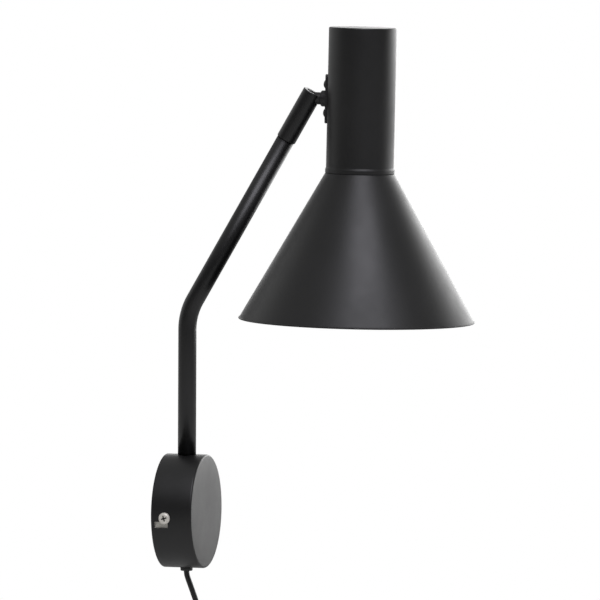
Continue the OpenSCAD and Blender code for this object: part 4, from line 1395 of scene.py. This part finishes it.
@dataclass(frozen=True)
class LeadRoute:
    """The lead's way from the gland to the plug, in millimetres.

    The columns are the coil's ways out from the wall and the layers its radii. Each turn keeps to one cell
    (column, layer) of the bundle, and crosses to it in its first change_deg.
    """

    upper: tuple[Point, ...] = (
        (0, -15.9, -46.2), (0, -16.3, -49.5), (0, -17.8, -54), (0, -20.1, -60), (0, -22.3, -66),
        (0, -24.4, -72), (0, -25.8, -78), (0, -26.3, -84), (0, -26.3, -88))
    through: tuple[Point, ...] = ((0, -26.3, -107), (0, -26.3, -126), (0, -26.3, -145))
    lower: tuple[Point, ...] = (
        (0, -26.3, -164), (0, -26.1, -167.5), (1.4, -25.2, -174.2), (5.6, -23.5, -181.4), (13.5, -22, -187.4))
    tail: tuple[Point, ...] = (
        (0, -30.7, -184.4), (7.7, -32.5, -185.8), (14.1, -35, -190), (18.5, -38, -196.5),
        (20, -40.3, -203), (20, -41, -207))
    end: Point = (20, -41, -212)
    coil: Point = (0, -26.3, -215)
    columns: Point = (21.9, 26.3, 30.7)
    layers: Point = (30.8, 26.4, 22.0)
    cells: tuple[tuple[int, int], ...] = (
        (0, 0), (0, 1), (0, 2), (1, 2), (2, 2), (2, 1), (1, 1), (1, 0), (2, 0))
    start_deg: float = 63.9
    top_deg: float = 90.0
    per_turn: int = 60
    change_deg: float = 100.0

    @staticmethod
    def eased(points: Sequence[Sequence[float]], per_step: int) -> list[Vector]:
        """Smooth curve through points.

        Args:
            points: the points, in order.
            per_step: spans from each point to the next.

        Returns:
            The curve's points, the first and last given ones included.
        """
        p = [Vector(q) for q in points]
        out = []
        for i in range(len(p) - 1):
            a, b, c, d = p[max(i - 1, 0)], p[i], p[i + 1], p[min(i + 2, len(p) - 1)]
            for k in range(per_step):
                t = k / per_step
                out.append(0.5 * (2 * b + (c - a) * t + (2 * a - 5 * b + 4 * c - d) * t * t
                                  + (3 * b - a - 3 * c + d) * t ** 3))
        return out + [p[-1]]

    def wound(self) -> list[Vector]:
        """The coil's turns, clockwise seen from the room.

        Returns:
            The points of its centre line, both ends left out.
        """
        middle_x, _, middle_z = self.coil
        total = self.start_deg + 360 * len(self.cells) - self.top_deg
        count = int(total / 360 * self.per_turn)
        points = []
        for k in range(1, count):
            turned = self.start_deg - total * k / count
            passed = (self.top_deg - turned) / 360
            cell = min(math.floor(passed), len(self.cells) - 1)
            share = min((passed - cell) * 360 / self.change_deg, 1)
            share = share * share * (3 - 2 * share)
            here, last = self.cells[cell], self.cells[max(cell - 1, 0)]
            out = self.columns[last[0]] * (1 - share) + self.columns[here[0]] * share
            radius = self.layers[last[1]] * (1 - share) + self.layers[here[1]] * share
            angle = math.radians(turned)
            points.append(Vector((middle_x + radius * math.cos(angle), -out,
                                  middle_z + radius * math.sin(angle))))
        return points

    def whole(self) -> list[Vector]:
        """Every point of the lead's centre line."""
        through = [Vector(point) for point in self.through]
        return (self.eased(self.upper, 3) + through + self.eased(self.lower, 4) + self.wound()
                + self.eased(self.tail, 4) + [Vector(self.end)])


@dataclass
class Lead:
    """The mains lead, wound below the switch, and the band that holds its coil."""

    shop: Workshop
    route: LeadRoute = field(default_factory=LeadRoute)
    bundle_w: float = 13.4
    bundle_h: float = 13.4
    band: float = 8.0
    band_t: float = 0.8

    def curve(self) -> bpy.types.Object:
        """The lead as one open curve.

        Returns:
            The curve object, with its round section and closed ends.
        """
        points = self.route.whole()
        data = bpy.data.curves.new("mains_lead", "CURVE")
        data.dimensions = "3D"
        data.bevel_depth = LAYOUT.lead_r * MM
        data.bevel_resolution = 4
        data.use_fill_caps = True
        spline = data.splines.new("POLY")
        spline.points.add(len(points) - 1)
        for point, at in zip(spline.points, points):
            point.co = (*(at * MM), 1)
        spline.use_smooth = True
        return put_in_scene("mains_lead", data)

    def length(self) -> float:
        """Length of the lead's centre line in metres."""
        points = self.route.whole()
        return sum((b - a).length for a, b in zip(points, points[1:])) * MM

    def tie(self) -> bpy.types.Object:
        """The band round the bundle, with a free end lapped over.

        Returns:
            The loop and its free end as one object.
        """
        middle_x, middle_y, middle_z = self.route.coil
        x = middle_x - (self.route.layers[0] + self.route.layers[-1]) / 2
        place = Matrix.Translation((x, middle_y, middle_z - self.band / 2))
        wide, deep, t = self.bundle_h, self.bundle_w, self.band_t
        worn = 0.12
        outer = [(t - worn, 0.0), (t, 0.25), (t, self.band - 0.25), (t - worn, self.band)]
        sections = [(round_rect(wide + 2 * out, deep + 2 * out, 3.2), z) for out, z in outer]
        sections += [(round_rect(wide, deep, 2.4), z) for z in (self.band, 0.0)]
        loop = stack("tie_loop", sections, place, True)
        lap = Matrix.Translation((x - 2.5, middle_y - deep / 2 - t, middle_z)) @ facing_out()
        tab_sections = [(round_rect(10.5 - 2 * inset, self.band - 0.6 - 2 * inset, 1.2), z)
                        for inset, z in [(0.0, 0.0)] + soft_edge(0.7, 0.25)]
        return join("coil_tie_band", [loop, stack("tie_tab", tab_sections, lap)])


def relief_rib(inner: float, outer: float, height: float, edge: float) -> bpy.types.Object:
    """One rib of a strain relief.

    Args:
        inner: radius that is buried in the relief.
        outer: radius of the rib.
        height: its height.
        edge: rounding of its outer edges.

    Returns:
        The rib, in millimetres about the origin.
    """
    section = rounded([(inner, 0, 0), (outer, 0, edge), (outer, height, edge), (inner, height, 0)], 3)
    return as_millimetres(lathe("rib", section, Matrix.Identity(4), 48))


@dataclass
class InlineSwitch:
    """The rocker switch on the lead: two shells, rocker, end boots and back screws."""

    shop: Workshop
    middle: Vector = field(default_factory=lambda: Vector(LeadRoute.through[1]))
    width: float = 27.0
    length: float = 56.0
    corner: float = 6.0
    front: float = 10.0
    back: float = 8.0
    wall: float = 1.6
    rocker_w: float = 11.0
    rocker_len: float = 19.0
    rocker_tilt: float = 7.0
    rocker_out: float = 5.0
    well_r: float = 2.6
    well_floor: float = 4.6
    well_x: float = 8.4
    well_y: float = 20.0
    boot_len: float = 10.0
    screw: CrossScrew = field(default_factory=lambda: CrossScrew(2.4, 1.5, 1.25, 9.0))

    def place(self) -> Matrix:
        """Switch frame: Z away from the wall, Y up."""
        return Matrix.Translation(self.middle) @ facing_out()

    def outline(self, inset: float) -> list[Flat]:
        """The case's outline, inset all round."""
        return round_rect(self.width - 2 * inset, self.length - 2 * inset, self.corner - inset)

    def front_shell(self) -> bpy.types.Object:
        """The front shell with its raised frame round the rocker.

        Returns:
            The shell.
        """
        hole_w, hole_l = self.rocker_w + 0.6, self.rocker_len + 0.8
        sections = [(self.outline(0.25), 0.0), (self.outline(0.0), 0.3)]
        sections += [(self.outline(inset), z) for inset, z in soft_edge(self.front - 0.5, 2.4, 6)]
        for out, z in ((3.4, 9.5), (3.0, 9.7), (2.4, 10.0), (0.9, 10.0), (0.35, 9.85), (0.0, 9.3),
                       (0.0, 4.0), (0.6, 3.4)):
            sections.append((round_rect(hole_w + 2 * out, hole_l + 2 * out, 0.6 + out), z))
        sections += [(self.outline(self.wall), 3.2), (self.outline(self.wall), 0.0)]
        return stack("switch_front_moulded", sections, self.place(), True)

    def back_shell(self) -> bpy.types.Object:
        """The back shell with two screw wells.

        Returns:
            The shell.
        """
        sections = [(self.outline(self.wall), self.back - self.wall), (self.outline(self.wall), CLEAR),
                    (self.outline(0.25), CLEAR), (self.outline(0.0), 0.3)]
        sections += [(self.outline(inset), z) for inset, z in soft_edge(self.back, 1.8, 5)]
        place = self.place() @ Matrix.Rotation(math.pi, 4, "Y")
        shell = stack("switch_back_moulded", sections, place)
        low, high = self.well_floor, self.back + 4
        well = [(0, low), (self.well_r, low), (self.well_r, high), (0, high)]
        corners = ((self.well_x, -self.well_y, 0), (-self.well_x, self.well_y, 0))
        return cut(shell, [lathe("well", well, place @ Matrix.Translation(corner), 40, False)
                           for corner in corners])

    def rocker(self) -> bpy.types.Object:
        """The rocker, dished on its face.

        Returns:
            The rocker.
        """
        half = self.rocker_len / 2
        outline = rounded([(-half, 3.4, 0.4), (-half + 0.8, 1.2, 0.3), (-3, -2, 0.8), (3, -2, 0.8),
                           (half - 0.8, 1.2, 0.3), (half, 3.4, 0.4), (half - 0.4, 6, 0.7), (0, 4.6, 14),
                           (-half + 0.4, 6, 0.7)], 6)
        middle, side = Vector((0, 3)), self.rocker_w / 2
        edges = [(side, 0.45), (side - 0.15, 0.2), (side - 0.4, 0.0)]
        rings = []
        for x, inset in [(-x, inset) for x, inset in edges] + edges[::-1]:
            near = [Vector(at) - (Vector(at) - middle).normalized() * inset for at in outline]
            rings.append([Vector((x, *at)) for at in near])
        bm = bmesh.new()
        loft_rings(bm, rings, False, True)
        pivot = self.place() @ Matrix.Translation((0, 0, self.rocker_out))
        return seal(bm, "switch_rocker_cap", pivot @ Matrix.Rotation(math.radians(self.rocker_tilt), 4, "X"))

    def boots(self) -> bpy.types.Object:
        """The two end boots with their ribs.

        Returns:
            One object with both.
        """
        bore = LAYOUT.lead_r + LEAD_GAP
        made = []
        for up, turn in ((1, 0.0), (-1, math.pi)):
            end = self.middle + Vector((0, 0, up * self.length / 2))
            place = Matrix.Translation(end) @ Matrix.Rotation(turn, 4, "X")
            section = rounded([(bore, -0.5, 0), (4.6, -0.5, 0), (4.4, 0.6, 0.3), (3.0, self.boot_len, 0.6),
                               (bore, self.boot_len, 0.2)], 4)
            made.append(lathe("boot", section, place, 48))
            rib = relief_rib(2.6, 4.7, 1.2, 0.4)
            made.append(self.shop.in_a_row(rib, "boot_ribs", Slot.PLASTIC, 3, (0, 0, 2.1), (0, 0, 2.6), place,
                                           shrink=0.095))
        return join("switch_boot_pair", made)

    def screws(self) -> bpy.types.Object:
        """The two screws in the back's wells.

        Returns:
            One object with both.
        """
        floor = self.place() @ Matrix.Translation((0, 0, CLEAR - self.well_floor))
        place = floor @ Matrix.Rotation(math.pi, 4, "Y")
        step = (-2 * self.well_x, 2 * self.well_y, 0)
        return self.shop.in_a_row(self.screw.template(), "switch_screw_pair", Slot.ZINC, 2,
                                  (self.well_x, -self.well_y, 0), step, place)

    def build(self) -> list[bpy.types.Object]:
        """Makes the switch's pieces and hands them over.

        Returns:
            The pieces.
        """
        give = self.shop.hand_over
        return [give(self.front_shell(), Slot.PLASTIC, Body.ROOT, "switch_front"),
                give(self.back_shell(), Slot.PLASTIC, Body.ROOT, "switch_back"),
                give(self.rocker(), Slot.PLASTIC, Body.ROCKER, "switch_rocker"),
                give(self.boots(), Slot.PLASTIC, Body.ROOT, "switch_boots"),
                give(self.screws(), Slot.ZINC, Body.ROOT, "switch_screws")]


@dataclass
class Plug:
    """The moulded two-pin plug, hanging with its pins down.

    Each of the body's levels is a height under the top, a width and a depth.
    """

    shop: Workshop
    top: Vector = field(default_factory=lambda: Vector(LeadRoute.tail[-1]))
    relief: float = 20.0
    pin_r: float = 2.0
    pin_len: float = 19.0
    pitch: float = 18.6
    levels: tuple[Point, ...] = (
        (-19.4, 9.6, 9.6), (-20.2, 11.2, 11.2), (-22.5, 12.2, 11.6), (-26, 16.4, 12.0), (-31, 24.0, 12.5),
        (-36, 29.2, 12.7), (-42, 30.0, 12.7), (-48.4, 30.0, 12.7), (-49.2, 31.6, 13.1), (-50.0, 34.2, 13.6),
        (-50.8, 35.0, 13.7), (-53.0, 35.0, 13.7), (-53.7, 34.3, 13.1), (-54.0, 33.0, 12.0))

    def body(self) -> bpy.types.Object:
        """The moulded body with its ribbed relief.

        Returns:
            The body and the relief as one object.
        """
        place = Matrix.Translation(self.top)
        sections = []
        for z, wide, deep in self.levels:
            corner = min(5.6 if wide < 34 else 6.0, deep / 2 - 0.05)
            sections.append((round_rect(wide, deep, corner, 10), z))
        moulding = stack("plug_block", sections, place, False, 40)
        bore, foot = LAYOUT.lead_r + CLEAR, -self.relief - 0.4
        section = rounded([(bore, 0, 0.2), (3.0, 0, 0.5), (4.9, foot, 0), (bore, foot, 0)], 4)
        sleeve = lathe("plug_sleeve", section, place, 48)
        ribs = self.shop.in_a_row(relief_rib(2.4, 5.2, 1.4, 0.45), "plug_ribs", Slot.PLASTIC, 5,
                                  (0, 0, -16.8), (0, 0, 3.2), place, shrink=0.062)
        return join("plug_moulded", [moulding, sleeve, ribs])

    def pins(self) -> bpy.types.Object:
        """The two round pins.

        Returns:
            One object with both.
        """
        r, length = self.pin_r, self.pin_len
        section = rounded([(0.0, -length, 0), (r * 0.8, -length, 0.8), (r, -length + 2.2, 0.8), (r, 8, 0),
                           (0.0, 8, 0)], 5, False)
        pin = as_millimetres(lathe("pin", section, Matrix.Identity(4), 40, False))
        place = Matrix.Translation(self.top + Vector((0, 0, self.levels[-1][0])))
        return self.shop.in_a_row(pin, "plug_pin_pair", Slot.BRASS, 2, (-self.pitch / 2, 0, 0),
                                  (self.pitch, 0, 0), place)

    def build(self) -> list[bpy.types.Object]:
        """Makes the plug's pieces and hands them over."""
        return [self.shop.hand_over(self.body(), Slot.PLASTIC, Body.ROOT, "plug_body"),
                self.shop.hand_over(self.pins(), Slot.BRASS, Body.ROOT, "plug_pins")]


# ---- camera and studio ----


@dataclass(frozen=True)
class Studio:
    """Camera, pale floor and soft lights."""

    eye: Point = (-4.88895, -1.42270, 0.50127)
    ahead: Point = (0.96342, 0.25963, -0.06645)
    above: Point = (0.06292, 0.02189, 0.99778)
    lens: float = 399.13
    floor_z: float = -0.95
    floor_half: float = 30.0
    bright_way: Point = (0.96, -0.28, 0.0)
    side_way: Point = (0.42, 0.906, 0.0)
    backdrop: float = 4.6
    side: float = 0.7
    ceiling: float = 0.42
    ground: float = 0.42
    room: float = 0.06
    lamp_tint: Colour = (0.93, 0.92, 1.0)
    aim: Point = (0, -0.12, 0.2)

    def camera(self) -> None:
        """Sets the camera at its viewing point."""
        data = bpy.data.cameras.new("camera")
        data.lens, data.sensor_width, data.clip_end = self.lens, 36.0, 200.0
        back = -Vector(self.ahead).normalized()
        side = Vector(self.above).cross(back).normalized()
        top = back.cross(side)
        pose = Matrix((side, top, back)).transposed().to_4x4()
        pose.translation = Vector(self.eye)
        camera = put_in_scene("camera", data)
        camera.matrix_world = pose
        bpy.context.scene.camera = camera

    def world(self) -> None:
        """A pale room: bright behind the light, dimmer in front, plain white to the eye."""
        world = bpy.data.worlds.new("studio")
        world.use_nodes = True
        tree = world.node_tree
        tree.nodes.clear()
        where = add_node(tree, "ShaderNodeTexCoord").outputs["Generated"]
        height = add_node(tree, "ShaderNodeSeparateXYZ", {"0": where}).outputs["Z"]
        low = self.ramp(tree, calc(tree, "ABSOLUTE", height), (0.6, 0.12), 1.0)
        behind = self.ramp(tree, self.towards(tree, where, self.bright_way), (0.55, 0.96), self.backdrop)
        beside = self.ramp(tree, self.towards(tree, where, self.side_way), (0.5, 0.95), self.side)
        over = self.ramp(tree, height, (0.15, 0.75), self.ceiling)
        under = self.ramp(tree, height, (-0.15, -0.65), self.ground)
        most = calc(tree, "MAXIMUM", calc(tree, "ADD", over, under), calc(tree, "MULTIPLY", behind, low))
        level = calc(tree, "ADD", calc(tree, "MAXIMUM", most, beside), self.room)
        seen = add_node(tree, "ShaderNodeLightPath").outputs["Is Camera Ray"]
        strength = add_node(tree, "ShaderNodeMix", {"0": seen, "2": level, "3": 1.0}, data_type="FLOAT")
        glow = add_node(tree, "ShaderNodeBackground", {
            "Color": (1, 1, 1, 1), "Strength": strength.outputs[0]})
        add_node(tree, "ShaderNodeOutputWorld", {"Surface": glow.outputs[0]})
        bpy.context.scene.world = world

    @staticmethod
    def towards(tree: bpy.types.NodeTree, where: bpy.types.NodeSocket, way: Point) -> bpy.types.NodeSocket:
        """How far a direction of the room points along way, from -1 to 1."""
        return add_node(tree, "ShaderNodeVectorMath", {"0": where, "1": way},
                        operation="DOT_PRODUCT").outputs["Value"]

    @staticmethod
    def ramp(tree: bpy.types.NodeTree, value: bpy.types.NodeSocket, between: Flat,
             top: float) -> bpy.types.NodeSocket:
        """Smooth step of a value.

        Args:
            tree: the room's tree.
            value: what is stepped.
            between: the values at which the step starts and ends.
            top: the level that it rises to, from 0.

        Returns:
            The step's level.
        """
        links = {"Value": value, "From Min": between[0], "From Max": between[1], "To Min": 0.0, "To Max": top}
        return add_node(tree, "ShaderNodeMapRange", links, interpolation_type="SMOOTHSTEP").outputs[0]

    def floor(self) -> None:
        """A plain pale floor that reads as white, and is clear from below."""
        half, z = self.floor_half, self.floor_z
        mesh = bpy.data.meshes.new("floor")
        corners = [(-half, -half, z), (half, -half, z), (half, half, z), (-half, half, z)]
        mesh.from_pydata(corners, [], [(0, 1, 2, 3)])
        material = bpy.data.materials.new("pale_floor")
        material.use_nodes = True
        tree = material.node_tree
        tree.nodes.clear()
        seen = add_node(tree, "ShaderNodeLightPath").outputs["Is Camera Ray"]
        matt = add_node(tree, "ShaderNodeBsdfDiffuse", {"Color": (0.8, 0.8, 0.79, 1)})
        white = add_node(tree, "ShaderNodeEmission", {"Color": (1, 1, 1, 1), "Strength": 1.0})
        top = add_node(tree, "ShaderNodeMixShader", {"0": seen, "1": matt.outputs[0], "2": white.outputs[0]})
        below = add_node(tree, "ShaderNodeNewGeometry").outputs["Backfacing"]
        clear = add_node(tree, "ShaderNodeBsdfTransparent")
        either = add_node(tree, "ShaderNodeMixShader", {
            "0": below, "1": top.outputs[0], "2": clear.outputs[0]})
        add_node(tree, "ShaderNodeOutputMaterial", {"Surface": either.outputs[0]})
        mesh.materials.append(material)
        floor = put_in_scene("floor", mesh)

    def lamp(self, name: str, at: Point, size: Flat, brightness: float) -> None:
        """A rectangular soft light that faces the shade.

        Args:
            name: the light's name.
            at: its place, in metres.
            size: width and height, in metres.
            brightness: how bright its face is beside the white of the room.
        """
        data = bpy.data.lights.new(name, "AREA")
        data.shape, data.size, data.size_y = "RECTANGLE", size[0], size[1]
        data.energy = brightness * math.pi * size[0] * size[1]
        data.color = self.lamp_tint
        light = put_in_scene(name, data)
        light.location = at
        light.rotation_euler = (Vector(self.aim) - Vector(at)).to_track_quat("-Z", "Y").to_euler()
        light.visible_camera = False

    def build(self) -> None:
        """Sets up the camera, the room and its lights."""
        self.camera()
        self.world()
        self.floor()
        self.lamp("overhead_softbox", (-1.45, -0.90, 2.1), (1.6, 1.5), 4.5)
        self.lamp("right_softbox", (-0.9, -2.2, 0.5), (1.0, 1.6), 0.2)
        bpy.context.scene.view_settings.view_transform = "Standard"


def main() -> None:
    """Builds the studio and every sub-assembly in order."""
    logging.basicConfig(level=logging.INFO, format="%(name)s %(message)s")
    Studio().build()
    shop = Workshop()
    lead = Lead(shop)
    flex = shop.hand_over(lead.curve(), Slot.SHEATH, Body.ROOT, "cord_upper", "cord_lower", "cord_coil",
                          "cord_tail")
    tie = shop.hand_over(lead.tie(), Slot.TIE, Body.ROOT, "cord_tie")
    on_lead = [tie] + InlineSwitch(shop).build() + Plug(shop).build()
    tuple(Vector(lead.route.upper[0]) * MM)
    round(lead.length(), 3)
    LOG.info("lead: %.3f m", lead.length())
    for part in (Canopy(shop), Arm(shop), BallStud(shop), Housing(shop), Shade(shop), LampHolder(shop)):
        part.build()
        LOG.info("%s built", type(part).__name__)
    shop.dress_nodes()
    LOG.info("%d pieces made", len(shop.made))


if __name__ == "__main__":
    main()
